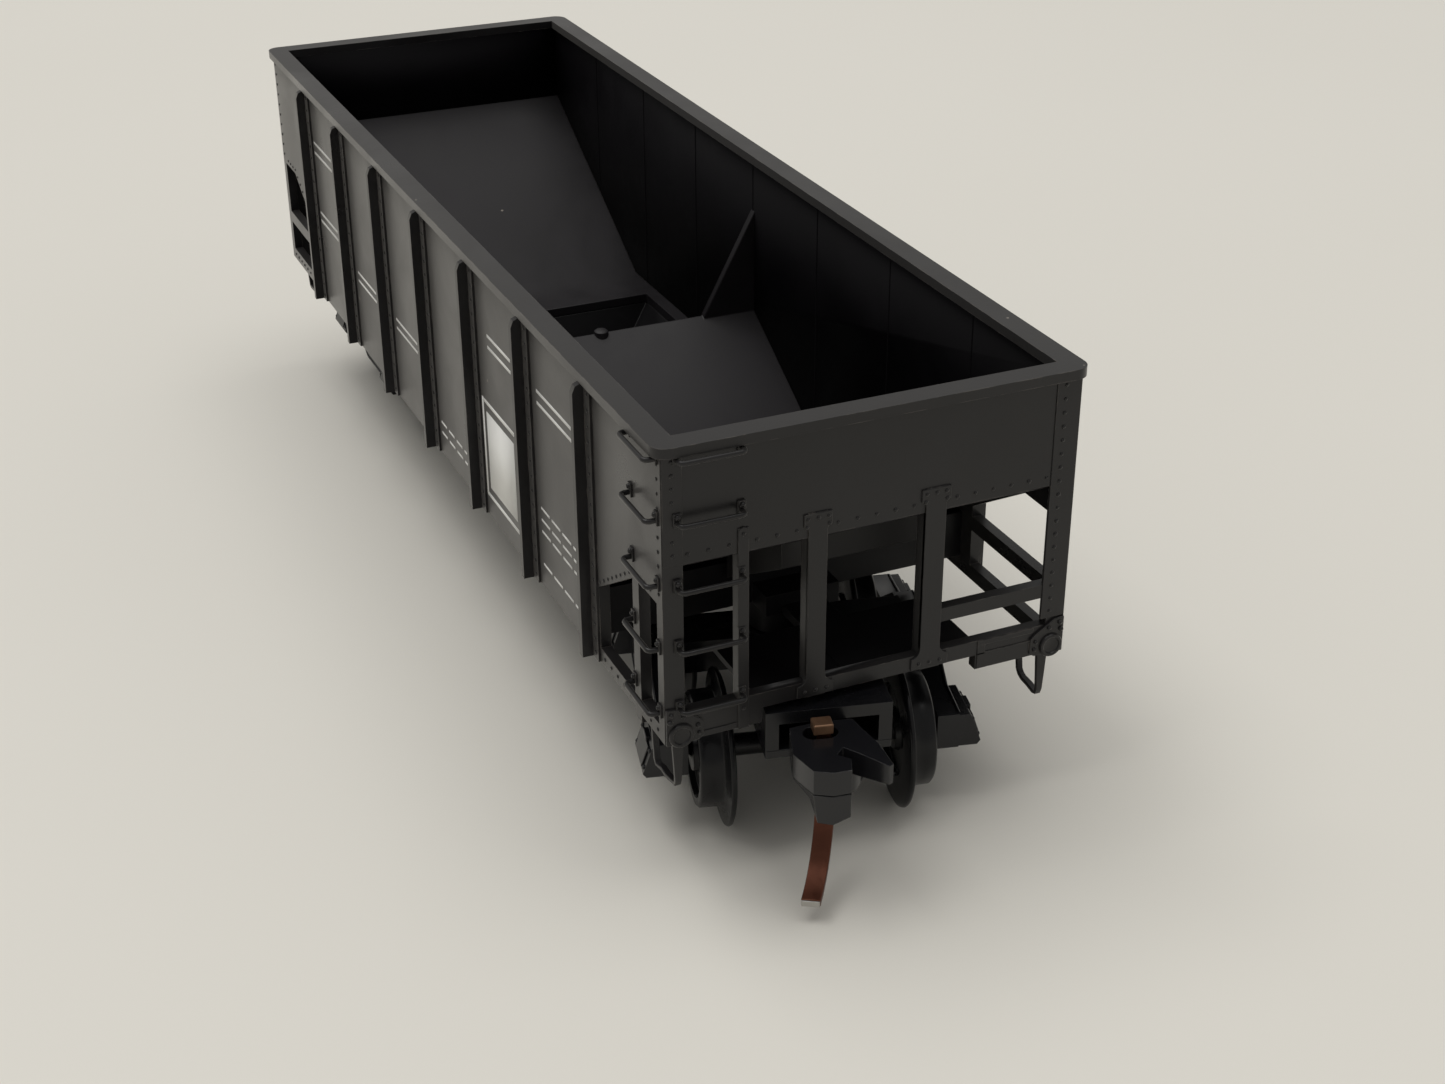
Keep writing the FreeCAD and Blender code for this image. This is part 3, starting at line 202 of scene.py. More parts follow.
SHELL_BLACK = moulded("shell_black", (0.0062, 0.0057, 0.0063), 0.33, (0.11, 0.098, 0.088),
                      dust=0.12, spec=0.36, sheen=0.20)
HOLD_BLACK = moulded("hold_black", (0.0078, 0.0066, 0.0082), 0.52, (0.016, 0.014, 0.016),
                     dust=0.04, spec=0.36)
# Near-black, dull sheets and ridges inside the hold: painted shade for the little light that reaches the
# inner walls.
HOLD_SHADE_BLACK = moulded("lining_black", (0.0016, 0.0012, 0.0020), 0.60, (0.01, 0.009, 0.01),
                       dust=0.02, spec=0.11)
# A darker, less shiny copy of the black plastic for the underframe and outlet bays: painted shade inside
# the car, where little light reaches.
SHADED_UNDER_BLACK = moulded("under_black", (0.0040, 0.0037, 0.0044), 0.42, (0.03, 0.028, 0.026),
                      dust=0.05, spec=0.22)
TRUCK_BLACK = moulded("truck_black", (0.0055, 0.0056, 0.0068), 0.28, (0.045, 0.045, 0.045),
                      relief=0.08, spec=0.36)
WHEEL_BLACK = moulded("wheel_black", (0.0032, 0.0032, 0.0038), 0.25, (0.03, 0.03, 0.03),
                      relief=0.05, spec=0.23)
COUPLER_BLACK = moulded("coupler_black", (0.0085, 0.0085, 0.0100), 0.25, (0.10, 0.10, 0.095),
                        relief=0.08, spec=0.42)
COPPER = moulded("dull_copper", (0.078, 0.025, 0.013), 0.34, (0.42, 0.26, 0.16),
                 dust=0.25, relief=0.7, pebble=2500.0, flow=900.0, metal=0.75)
TIN = moulded("bare_tip", (0.40, 0.39, 0.37), 0.4, (0.6, 0.6, 0.58), dust=0.05, relief=0.5, metal=0.8)
COPPER_CUT = moulded("cut_copper", (0.17, 0.095, 0.055), 0.42, (0.62, 0.50, 0.38),
                     dust=0.1, relief=0.8, pebble=2500.0, flow=1200.0, metal=0.7)
STEEL = moulded("spring_wire", (0.34, 0.33, 0.32), 0.35, (0.6, 0.6, 0.58), metal=1.0, dust=0.02)
BLACKENED = moulded("blackened_steel", (0.006, 0.0056, 0.0056), 0.5, (0.04, 0.038, 0.035),
                    dust=0.02, spec=0.3)
MARKING_WHITE = moulded("marking_white", (0.62, 0.62, 0.60), 0.5, (0.75, 0.75, 0.73),
                        dust=0.0, relief=0.1)


# ---------------------------------------------------------------- making pieces

def object_from(name, mesh):
    obj = bpy.data.objects.new(name, mesh)
    scene.collection.objects.link(obj)
    return obj


def baked(obj):
    """The object with its modifiers made real."""
    graph = bpy.context.evaluated_depsgraph_get()
    mesh = bpy.data.meshes.new_from_object(obj.evaluated_get(graph))
    obj.modifiers.clear()
    if obj.type != "MESH":
        name = obj.name
        bpy.data.objects.remove(obj)
        return object_from(name, mesh)
    obj.data = mesh
    return obj


def softened(obj, width, segments=2, angle=35):
    """Small round edges with shading that keeps the faces flat."""
    ease = obj.modifiers.new("ease", "BEVEL")
    ease.width = width
    ease.segments = segments
    ease.limit_method = "ANGLE"
    ease.angle_limit = math.radians(angle)
    ease.harden_normals = True
    ease.use_clamp_overlap = True
    corners = obj.modifiers.new("corners", "TRIANGULATE")
    corners.keep_custom_normals = True
    obj.data.shade_smooth()
    return obj


def settled(obj, body, material, stands_for=()):
    """Makes modifiers real, brings the piece to metres, paints it and puts it on its body."""
    obj = baked(obj)
    obj.data.transform(Matrix.Scale(MM, 4))
    obj.data.materials.clear()
    obj.data.materials.append(material)
    obj.data.polygons.foreach_set("material_index", [0] * len(obj.data.polygons))
    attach(obj, body)
    if stands_for:
        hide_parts(*stands_for)
    return obj


def eased_copy(node, material, width=0.05, angle=35, reshape=None):
    """A CAD piece with its edges rounded, which then stands for it; reshape moves its corners."""
    mesh = frame["nodes"][node].data.copy()
    mesh.transform(Matrix.Scale(1 / MM, 4))
    work = bmesh.new()
    work.from_mesh(mesh)
    bmesh.ops.remove_doubles(work, verts=work.verts, dist=0.002)
    bmesh.ops.dissolve_limit(work, angle_limit=math.radians(1.5), verts=work.verts, edges=work.edges)
    if reshape:
        for vert in work.verts:
            vert.co = reshape(vert.co)
    bmesh.ops.recalc_face_normals(work, faces=work.faces)
    work.to_mesh(mesh)
    work.free()
    if "custom_normal" in mesh.attributes:
        mesh.attributes.remove(mesh.attributes["custom_normal"])
    obj = softened(object_from(f"{node}.eased", mesh), width, angle=angle)
    return settled(obj, frame["nodes"][node]["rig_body"], material, (node,))


def object_of(work, name):
    """The bmesh as an object, with its faces pointing outwards."""
    bmesh.ops.recalc_face_normals(work, faces=work.faces)
    mesh = bpy.data.meshes.new(name)
    work.to_mesh(mesh)
    work.free()
    return object_from(name, mesh)


def wall(work, first, second):
    """Faces between two closed rows of points."""
    for i in range(len(first)):
        j = (i + 1) % len(first)
        work.faces.new((first[i], first[j], second[j], second[i]))


def prism(name, outline, low, high, across="x"):
    """A closed outline raised from low to high; across is the axis it is raised along."""
    def point(u, v, w):
        return {"x": (w, u, v), "y": (u, w, v), "z": (u, v, w)}[across]
    work = bmesh.new()
    lower = [work.verts.new(point(u, v, low)) for u, v in outline]
    upper = [work.verts.new(point(u, v, high)) for u, v in outline]
    work.faces.new(lower)
    work.faces.new(upper)
    wall(work, lower, upper)
    return object_of(work, name)


def block(x0, x1, z0, z1):
    """An upright rectangle's outline."""
    return [(x0, z0), (x1, z0), (x1, z1), (x0, z1)]


def joined(name, objects):
    """Several unfinished objects as one, modifiers made real."""
    work = bmesh.new()
    for obj in objects:
        obj = baked(obj)
        work.from_mesh(obj.data)
        bpy.data.objects.remove(obj)
    mesh = bpy.data.meshes.new(name)
    work.to_mesh(mesh)
    work.free()
    obj = object_from(name, mesh)
    obj.data.shade_smooth()
    return obj


def turned(obj, matrix):
    obj.data.transform(matrix)
    return obj


def carried(heads, placing):
    """Rivet heads given as (point, direction), moved to another place."""
    return [(placing @ Vector(spot), placing.to_3x3() @ Vector(way)) for spot, way in heads]


def truck_matrix(end):
    """From a truck's own frame, with its kingpin at the origin, to the car's."""
    turn = Matrix.Rotation(math.radians(SWIVEL[end]), 4, "Z")
    return Matrix.Translation((PIVOT_X[end], 0, 0)) @ turn


# ---------------------------------------------------------- geometry node trees

def geometry_tree(name, inputs):
    """A geometry tree with named inputs; returns the tree, its input node and its output node."""
    tree = bpy.data.node_groups.new(name, "GeometryNodeTree")
    tree.interface.new_socket("Geometry", in_out="INPUT", socket_type="NodeSocketGeometry")
    for label, (kind, default) in inputs.items():
        socket = tree.interface.new_socket(label, in_out="INPUT", socket_type=f"NodeSocket{kind}")
        if default is not None:
            socket.default_value = default
    tree.interface.new_socket("Geometry", in_out="OUTPUT", socket_type="NodeSocketGeometry")
    return tree, tree.nodes.new("NodeGroupInput"), tree.nodes.new("NodeGroupOutput")


def rivet_tree():
    """A low round head on every point, standing along the point's own direction."""
    tree, inp, out = geometry_tree("rivet_heads", {
        "Head Radius": ("Float", 0.12), "Head Height": ("Float", 0.08),
        "Uneven": ("Float", 0.12), "Material": ("Material", None)})
    head = add(tree, "GeometryNodeMeshUVSphere", Segments=8, Rings=4, Radius=1.0)
    shape = add(tree, "ShaderNodeCombineXYZ", X=inp.outputs["Head Radius"],
                Y=inp.outputs["Head Radius"], Z=inp.outputs["Head Height"])
    flat = add(tree, "GeometryNodeTransform", Geometry=head.outputs[0], Scale=shape.outputs[0])
    stands = add(tree, "GeometryNodeInputNamedAttribute", {"data_type": "FLOAT_VECTOR"}, Name="stands")
    aim = add(tree, "FunctionNodeAlignRotationToVector", {"axis": "Z"}, Vector=stands.outputs[0])
    low = maths(tree, "SUBTRACT", 1.0, inp.outputs["Uneven"])
    high = maths(tree, "ADD", 1.0, inp.outputs["Uneven"])
    vary = add(tree, "FunctionNodeRandomValue", {"data_type": "FLOAT"}, i2=low, i3=high, Seed=7)
    heads = add(tree, "GeometryNodeInstanceOnPoints", Points=inp.outputs["Geometry"],
                Instance=flat.outputs[0], Rotation=aim.outputs[0], Scale=vary.outputs[1])
    real = add(tree, "GeometryNodeRealizeInstances", Geometry=heads.outputs[0])
    smooth = add(tree, "GeometryNodeSetShadeSmooth", Geometry=real.outputs[0])
    paint = add(tree, "GeometryNodeSetMaterial", Geometry=smooth.outputs[0],
                Material=inp.outputs["Material"])
    tree.links.new(paint.outputs[0], out.inputs[0])
    return tree


def swept_tree():
    """A round or oval bar that follows a line with rounded bends."""
    tree, inp, out = geometry_tree("swept_bar", {
        "Bend Radius": ("Float", 0.2), "Thickness": ("Float", 0.13), "Width": ("Float", 0.13),
        "Sides": ("Int", 12), "Material": ("Material", None)})
    bent = add(tree, "GeometryNodeFilletCurve", {"mode": "POLY"}, Curve=inp.outputs["Geometry"],
               Radius=inp.outputs["Bend Radius"], Count=5, Limit_Radius=True)
    ring = add(tree, "GeometryNodeCurvePrimitiveCircle", Resolution=inp.outputs["Sides"], Radius=1.0)
    shape = add(tree, "ShaderNodeCombineXYZ", X=inp.outputs["Width"], Y=inp.outputs["Thickness"],
                Z=1.0)
    section = add(tree, "GeometryNodeTransform", Geometry=ring.outputs[0], Scale=shape.outputs[0])
    bar = add(tree, "GeometryNodeCurveToMesh", Curve=bent.outputs[0],
              Profile_Curve=section.outputs[0], Fill_Caps=True)
    smooth = add(tree, "GeometryNodeSetShadeSmooth", Geometry=bar.outputs[0])
    real = add(tree, "GeometryNodeRealizeInstances", Geometry=smooth.outputs[0])
    paint = add(tree, "GeometryNodeSetMaterial", Geometry=real.outputs[0],
                Material=inp.outputs["Material"])
    tree.links.new(paint.outputs[0], out.inputs[0])
    return tree


RIVETS = rivet_tree()
SWEPT = swept_tree()


def run_tree(obj, tree, **values):
    """Puts a geometry tree on an object with its named inputs set."""
    modifier = obj.modifiers.new("shape", "NODES")
    modifier.node_group = tree
    names = {item.name: item.identifier for item in tree.interface.items_tree
             if getattr(item, "in_out", "") == "INPUT"}
    for label, value in values.items():
        modifier[names[label.replace("_", " ")]] = value


def rivets(name, heads, radius, height, body="car_body", material=SHELL_BLACK):
    """Rivet heads at [(point, direction)] on one body."""
    mesh = bpy.data.meshes.new(name)
    mesh.from_pydata([point for point, _ in heads], [], [])
    stands = mesh.attributes.new("stands", "FLOAT_VECTOR", "POINT")
    stands.data.foreach_set("vector", [c for _, way in heads for c in way])
    obj = object_from(name, mesh)
    run_tree(obj, RIVETS, Head_Radius=radius, Head_Height=height, Material=material)
    return settled(obj, body, material)


def line_curve(name, lines):
    """A curve object of straight-sided lines."""
    curve = bpy.data.curves.new(name, "CURVE")
    curve.dimensions = "3D"
    for points in lines:
        spline = curve.splines.new("POLY")
        spline.points.add(len(points) - 1)
        for item, point in zip(spline.points, points):
            item.co = (*point, 1.0)
    return object_from(name, curve)


def swept(name, lines, radius, bend, sides, placing, body, material, stands_for=()):
    """Round bars along lines, as one piece."""
    obj = line_curve(name, lines)
    run_tree(obj, SWEPT, Bend_Radius=bend, Thickness=radius, Width=radius, Sides=sides,
             Material=material)
    return settled(turned(baked(obj), placing), body, material, stands_for)


def up(z):
    """A height above the side sill as a height above the floor."""
    return SILL + z


def arc(across, height, radius, start, end, steps=5):
    """Points on part of a circle, angles in degrees."""
    turns = [math.radians(start + (end - start) * i / steps) for i in range(steps + 1)]
    return [(across + radius * math.cos(t), height + radius * math.sin(t)) for t in turns]


def plate(name, corners, thickness):
    """A flat plate on three or more corners, raised by its thickness along their normal."""
    points = [Vector(corner) for corner in corners]
    way = (points[1] - points[0]).cross(points[2] - points[1]).normalized() * thickness
    work = bmesh.new()
    lower = [work.verts.new(point) for point in points]
    upper = [work.verts.new(point + way) for point in points]
    work.faces.new(lower)
    work.faces.new(upper)
    wall(work, lower, upper)
    return object_of(work, name)


def lathe(name, profile, centre, axis="x", steps=32):
    """A (along, radius) profile turned about an axis through a centre; its ends lie on the axis."""
    work = bmesh.new()
    rows = []
    for along, radius in profile:
        row = []
        for i in range(steps):
            turn = 2 * math.pi * i / steps
            a, b = radius * math.cos(turn), radius * math.sin(turn)
            spot = {"x": (along, a, b), "y": (a, along, b), "z": (a, b, along)}[axis]
            row.append(work.verts.new(Vector(centre) + Vector(spot)))
        rows.append(row)
    for first, second in zip(rows, rows[1:]):
        wall(work, first, second)
    bmesh.ops.remove_doubles(work, verts=work.verts, dist=0.0005)
    return object_of(work, name)


def ribbon(name, path, thickness, across=(0, 1, 0)):
    """A bent band; path is [(x, y, z, half width)] and across is the way its width lies."""
    across = Vector(across).normalized()
    work = bmesh.new()
    rings = []
    for i, (x, y, z, half) in enumerate(path):
        run = Vector(path[min(i + 1, len(path) - 1)][:3]) - Vector(path[max(i - 1, 0)][:3])
        way = run.cross(across).normalized() * thickness / 2
        spot, side = Vector((x, y, z)), across * half
        rings.append([work.verts.new(spot + a + b) for a, b in
                      ((side, way), (-side, way), (-side, -way), (side, -way))])
    for first, second in zip(rings, rings[1:]):
        wall(work, first, second)
    work.faces.new(rings[0])
    work.faces.new(rings[-1])
    return object_of(work, name)


def spaced(low, high, pitch):
    """Even steps near the pitch from low to high, both included."""
    count = max(1, round(abs(high - low) / pitch))
    return [low + (high - low) * i / count for i in range(count + 1)]


# ----------------------------------------------------------------- floor, light

def add_floor():
    mesh = bpy.data.meshes.new("table_top")
    mesh.from_pydata([(x, y, 0) for x, y in block(-1.5, 1.5, -1.5, 1.5)], [], [(0, 1, 2, 3)])
    floor = object_from("table_top", mesh)
    material = bpy.data.materials.new("pale_table")
    material.use_nodes = True
    tree = material.node_tree
    shader = tree.nodes["Principled BSDF"]
    place = add(tree, "ShaderNodeTexCoord").outputs["Object"]
    cloud = add(tree, "ShaderNodeTexNoise", Vector=place, Scale=14.0, Detail=3.0)
    tone = blend_colour(tree, cloud.outputs["Fac"], (0.725, 0.705, 0.650, 1),
                        (0.755, 0.735, 0.685, 1))
    tree.links.new(tone, shader.inputs["Base Color"])
    shader.inputs["Roughness"].default_value = 0.55
    shader.inputs["Specular IOR Level"].default_value = 0.25
    mesh.materials.append(material)


def area_light(name, place, size, power):
    """A square soft light in metres and watts, aimed at the car."""
    data = bpy.data.lights.new(name, "AREA")
    data.shape = "RECTANGLE"
    data.size, data.size_y = size, size
    data.energy = power
    data.color = (1.0, 0.99, 0.965)
    light = bpy.data.objects.new(name, data)
    scene.collection.objects.link(light)
    light.location = place
    light.rotation_euler = (-Vector(place)).to_track_quat("-Z", "Y").to_euler()


def add_lights():
    world = bpy.data.worlds.new("room")
    world.use_nodes = True
    background = world.node_tree.nodes["Background"]
    background.inputs["Color"].default_value = (1.0, 0.985, 0.955, 1)
    background.inputs["Strength"].default_value = 0.40
    scene.world = world
    area_light("ceiling_back", (-0.55, -0.30, 1.30), 0.6, 4.2)
    area_light("ceiling_left", (-0.05, -0.60, 1.40), 0.6, 4.2)
    area_light("ceiling_middle", (0.10, 0.25, 1.50), 0.9, 5.4)
    scene.view_settings.view_transform = "Standard"


def add_camera():
    azimuth, elevation, roll = (math.radians(angle) for angle in (66.238, 28.073, -0.296))
    back = Vector((math.sin(azimuth) * math.cos(elevation), -math.cos(azimuth) * math.cos(elevation),
                   math.sin(elevation)))
    right = Vector((0, 0, 1)).cross(back).normalized()
    above = back.cross(right)
    right, above = (math.cos(roll) * right + math.sin(roll) * above,
                    math.cos(roll) * above - math.sin(roll) * right)
    data = bpy.data.cameras.new("camera")
    data.sensor_width = 36.0
    data.lens = 52.505
    data.clip_start = 0.005
    data.clip_end = 10.0
    camera = bpy.data.objects.new("camera", data)
    scene.collection.objects.link(camera)
    turn = Matrix((right, above, back)).transposed().to_4x4()
    camera.matrix_world = Matrix.Translation(Vector((98.09, -36.18, 55.03)) * MM) @ turn
    scene.camera = camera


add_floor()
add_lights()
add_camera()


# -------------------------------------------- the pieces that keep their CAD shape

eased_copy("body_shell", SHELL_BLACK, 0.05)
eased_copy("hopper_floor", HOLD_BLACK, 0.06)
# The underframe and outlet bays take the darker black of painted shade.
eased_copy("underframe", SHADED_UNDER_BLACK, 0.05)
for end in "ab":
    eased_copy(f"outlet_bay_{end}", SHADED_UNDER_BLACK, 0.05)
    eased_copy(f"outlet_doors_{end}", SHELL_BLACK, 0.05)
    eased_copy(f"truck_frame_{end}", TRUCK_BLACK, 0.06)
    eased_copy(f"coupler_box_lid_{end}", TRUCK_BLACK, 0.05)
    eased_copy(f"outer_wheelset_{end}", WHEEL_BLACK, 0.03, angle=50)
    eased_copy(f"inner_wheelset_{end}", WHEEL_BLACK, 0.03, angle=50)
    eased_copy(f"kingpin_{end}", TRUCK_BLACK, 0.05)
for node in ("ridge_weight", "slope_weight_a", "slope_weight_b"):
    eased_copy(node, BLACKENED, 0.05)
for node in ("brake_wheel", "brake_housing", "brake_step", "air_reservoir", "brake_cylinder",
             "brake_valve"):
    eased_copy(node, SHELL_BLACK, 0.04)
for end in "ab":
    spring = frame["nodes"][f"coupler_spring_{end}"]
    spring.data.materials.clear()
    spring.data.materials.append(STEEL)


# ------------------------------------------------- end frames, rivets, pockets
# Widths and heights of the A end; the B end is the same turned half way round.

ENDS = (("a", Matrix()), ("b", Matrix.Rotation(math.pi, 4, "Z")))
POSTS = {"left": (-3.07, -2.21), "right": (2.26, 3.22)}
STILE = (-6.16, -5.68)
POST_PROUD = 0.085                  # how far these stand out from the end sheet
LAP_PROUD = 0.05
STRIP_PROUD = 0.045
GUSSET_PROUD = 0.13


def post_plate(name, low, high, flare=0.4, head=0.2):
    """The flange of an end post: a spread foot on the end sill and a spread head on the sheet."""
    foot, neck = up(1.30), up(8.5)
    outline = [(low - flare, up(0.74)), (high + flare, up(0.74))]
    outline += arc(high + flare, foot + flare, flare, -90, -180)
    outline += arc(high + head, neck, head, 180, 90)
    outline += [(high + head, up(9.28)), (low - head, up(9.28))]
    outline += arc(low - head, neck, head, 90, 0)
    outline += arc(low - flare, foot + flare, flare, 0, -90)
    return softened(prism(name, outline, FACE - 0.12, FACE + POST_PROUD), 0.03)


def post_web(name, low, high):
    """The deep part of an end post, behind its flange and under the end sheet."""
    outline = block(low + 0.08, high - 0.08, up(1.0), up(8.35))
    return softened(prism(name, outline, FACE - 0.8, FACE - 0.05), 0.05)


def stile_plate(name):
    """The ladder stile's flange, round at its top."""
    low, high = STILE
    outline = [(low, up(-0.02)), (high, up(-0.02))]
    outline += arc((low + high) / 2, up(9.1), (high - low) / 2, 0, 180, 8)
    return softened(prism(name, outline, FACE - 0.12, FACE + POST_PROUD), 0.03)


def corner_plate(name, low, high, bottom):
    """A thin lap plate on the end sheet at a corner post."""
    outline = block(low, high, bottom, up(12.95))
    return softened(prism(name, outline, FACE - 0.1, FACE + LAP_PROUD), 0.02)


def pocket_gusset(name, side):
    """The three-cornered plate behind a poling pocket."""
    outline = [(9.37, -0.02), (9.37, 1.72), (8.85, 1.66), (7.9, 1.02), (7.72, 0.86), (7.70, 0.16),
               (7.95, 0.0)]
    outline = [(side * y, up(z)) for y, z in outline]
    return softened(prism(name, outline, FACE - 0.1, FACE + GUSSET_PROUD), 0.04)


def poling_pocket(name, side):
    """A shallow round cup with a raised lip."""
    profile = [(-0.1, 0.0), (-0.1, 0.56), (0.17, 0.56), (0.235, 0.52), (0.25, 0.46), (0.235, 0.40),
               (0.17, 0.36), (0.135, 0.2), (0.125, 0.0)]
    return lathe(name, profile, (FACE + 0.02, side * 8.74, up(0.42)))


def sill_strips(name):
    """Raised strips along the end sill outside the coupler opening."""
    strips = ((5.12, 7.9, 1.16, 1.40), (5.12, 7.9, 0.03, 0.80), (5.12, 5.5, 0.70, 1.2),
              (-7.75, -6.2, 1.12, 1.40), (-7.75, -6.2, 0.03, 0.30))
    return [softened(prism(f"{name}.{i}", block(left, right, up(low), up(high)), FACE - 0.1,
                           FACE + STRIP_PROUD), 0.02)
            for i, (left, right, low, high) in enumerate(strips)]


def end_sheet_rivets():
    """Rivet heads on one end, as (point, direction)."""
    spots = [(y, 8.62, FACE) for low, high in ((3.75, 8.0), (-1.7, 1.75), (-5.3, -3.55), (-8.3, -6.5))
             for y in spaced(low, high, 0.82)]
    for low, high in POSTS.values():
        for z, steps in ((9.06, (-0.46, 0.0, 0.46)), (8.72, (-0.5, 0.5)), (1.0, (-0.5, 0.0, 0.5))):
            spots += [((low + high) / 2 + step, z, FACE + POST_PROUD) for step in steps]
    spots += [(-5.92, z, FACE + POST_PROUD) for z in (9.05, 0.95)]
    spots += [(8.62, z, FACE + LAP_PROUD) for z in spaced(2.1, 12.75, 0.62)]
    clear_of_rung = [z for z in spaced(8.7, 12.75, 0.62) if abs(z - 10.13) > 0.35]
    spots += [(-8.95, z, FACE + LAP_PROUD) for z in clear_of_rung]
    return [((x, y, up(z)), (1, 0, 0)) for y, z, x in spots]


def pocket_bolts():
    """Bolt heads on both gussets, as (point, direction)."""
    return [((FACE + GUSSET_PROUD, side * y, up(z)), (1, 0, 0)) for side in (1, -1)
            for y, z in ((9.15, 1.45), (8.62, 1.28), (7.98, 0.72), (7.93, 0.35), (9.22, 1.12))]


def side_rivets():
    """Rivet heads on both sides of the car, as (point, direction)."""
    spots = [(x + step, 0.12, z) for x in RIBS for step in (-0.52, 0.52)
             for z in spaced(0.35, 12.6, 0.72)]
    window = [(24.3, 4.05), (28.3, 6.63), (30.7, 6.68)]
    for way in (1, -1):
        for (x0, z0), (x1, z1) in zip(window, window[1:]):
            run = spaced(0, 1, 0.62 / math.hypot(x1 - x0, z1 - z0))
            spots += [(way * (x0 + (x1 - x0) * t), 0.0, z0 + (z1 - z0) * t) for t in run[:-1]]
        spots += [(way * 31.0, 0.0, z) for z in spaced(6.9, 12.6, 0.66)]
        spots += [(way * x, 0.0, 0.35) for x in spaced(24.6, 30.6, 0.75)]
    return [((x, side * (HALF_WIDTH + out), up(z)), (0, side, 0))
            for side in (1, -1) for x, out, z in spots]


for end, placing in ENDS:
    flanges = [post_plate(f"post_{which}", *edges) for which, edges in POSTS.items()]
    flanges += [post_web(f"web_{which}", *edges) for which, edges in POSTS.items()]
    flanges += [stile_plate("stile"), corner_plate("lap_right", 8.2, 9.36, up(1.75)),
                corner_plate("lap_left", -9.36, -8.5, up(8.25)),
                pocket_gusset("gusset_right", 1), pocket_gusset("gusset_left", -1)]
    flanges = joined(f"end_flanges_{end}", flanges + sill_strips("strip"))
    settled(turned(flanges, placing), "car_body", SHELL_BLACK)
    cups = [softened(poling_pocket("cup", side), 0.015, 1) for side in (1, -1)]
    settled(turned(joined(f"poling_pockets_{end}", cups), placing), "car_body", SHELL_BLACK)
    rivets(f"end_rivets_{end}", carried(end_sheet_rivets(), placing), 0.1, 0.06)
    rivets(f"pocket_bolts_{end}", carried(pocket_bolts(), placing), 0.12, 0.12)
rivets("side_rivets", side_rivets(), 0.095, 0.055)


# ------------------------------------------------------------ ladders and steps

SIDE_RUNGS = (1.4, 4.4, 7.3, 10.2, 12.84)
END_RUNGS = (1.63, 4.44, 7.2, 10.13, 12.84)
RUNG_OUT = 0.5                      # how far a rung stands off its sheet
LUG_PROUD = {"side": 0.1, "end": 0.14}


def side_point(along, out, z):
    """A point on the side ladder; along is 0 or 1, and out is its distance from the sheet."""
    return (28.3 + 2.7 * along, -(HALF_WIDTH + out), up(z))


def end_point(along, out, z):
    """The same on the end ladder."""
    return (FACE + out, -8.75 + 2.75 * along, up(z))


def ladder(end, which, heights, point, placing):
    """Wire rungs with a lug and a bolt at each end."""
    lines = [[point(0, -0.05, z), point(0, RUNG_OUT, z), point(1, RUNG_OUT, z), point(1, -0.05, z)]
             for z in heights]
    swept(f"{which}_rungs_{end}", lines, 0.115, 0.2, 10, placing, "car_body", SHELL_BLACK,
          (f"{which}_ladder_{end}",))
    lugs, bolts = [], []
    proud = LUG_PROUD[which]
    for z in heights:
        high = min(z + 0.42, CHORD)
        for along in (0, 1):
            x, y, bolt_z = point(along, 0, z + 0.26)
            middle = x if which == "side" else y
            outline = block(middle - 0.17, middle + 0.17, up(z - 0.2), up(high))
            if which == "side":
                lug = prism("lug", outline, -HALF_WIDTH - proud, -HALF_WIDTH + 0.1, "y")
                bolt = ((x, -HALF_WIDTH - proud, bolt_z), (0, -1, 0))
            else:
                lug = prism("lug", outline, FACE - 0.1, FACE + proud)
                bolt = ((FACE + proud, y, bolt_z), (1, 0, 0))
            lugs.append(softened(lug, 0.03))
            if high < CHORD:
                bolts.append(bolt)
    settled(turned(joined(f"{which}_lugs_{end}", lugs), placing), "car_body", SHELL_BLACK)
    rivets(f"{which}_lug_bolts_{end}", carried(bolts, placing), 0.13, 0.13)


for end, placing in ENDS:
    ladder(end, "side", SIDE_RUNGS, side_point, placing)
    ladder(end, "end", END_RUNGS, end_point, placing)


def stirrup(name, side, back_y, front_y):
    """A band bent under one corner, narrow at its foot and broad where it meets the sill."""
    back_y, front_y = side * back_y, side * front_y
    middle = (back_y + front_y) / 2
    path = [(29.3, side * 9.1, 0.15, 0.15), (29.32, side * 9.05, -0.12, 0.15),
            (29.36, back_y, -0.5, 0.14), (29.42, back_y, -1.0, 0.14), (29.55, back_y, -1.8, 0.14),
            (29.70, back_y, -1.98, 0.14), (29.98, middle, -2.06, 0.14), (30.5, middle, -2.1, 0.15),
            (30.95, front_y, -2.16, 0.15), (31.17, front_y, -2.12, 0.15),
            (31.25, front_y, -1.88, 0.15), (31.26, front_y, -1.0, 0.20), (31.26, front_y, 0.05, 0.26)]
    path = [(x, y, up(z), half) for x, y, z, half in path]
    return softened(ribbon(name, path, 0.19), 0.035, 2, 50)


bands = []
for end, placing in ENDS:
    bands.append(turned(stirrup("step_right", 1, 8.5, 8.45), placing))
    bands.append(turned(stirrup("step_left", -1, 9.05, 8.82), placing))
settled(joined("stirrup_bands", bands), "car_body", SHELL_BLACK, ("stirrup_steps",))


# ------------------------------------------------------- hold, sides, markings

SLOPE = 0.577                       # rise of the floor plates for each millimetre along
HOLD_END = 30.84                    # inner faces of the hold's end and side linings
HOLD_SIDE = 8.88
SLOPE_TOP = 8.52                    # height of a floor plate at the end sheet


def hold_ridges():
    """Fine upright ridges inside the side sheets, one behind every rib."""
    made = []
    for x in RIBS:
        low = up(max(0.8, 4.9 - abs(x) * SLOPE, 8.6 - (30.86 - abs(x)) * SLOPE))
        for side in (1, -1):
            outline = [(x - 0.09, side * 8.95), (x + 0.09, side * 8.95), (x + 0.05, side * 8.865),
                       (x - 0.05, side * 8.865)]
            made.append(prism("ridge", outline, low, up(CHORD), "z"))
    return made


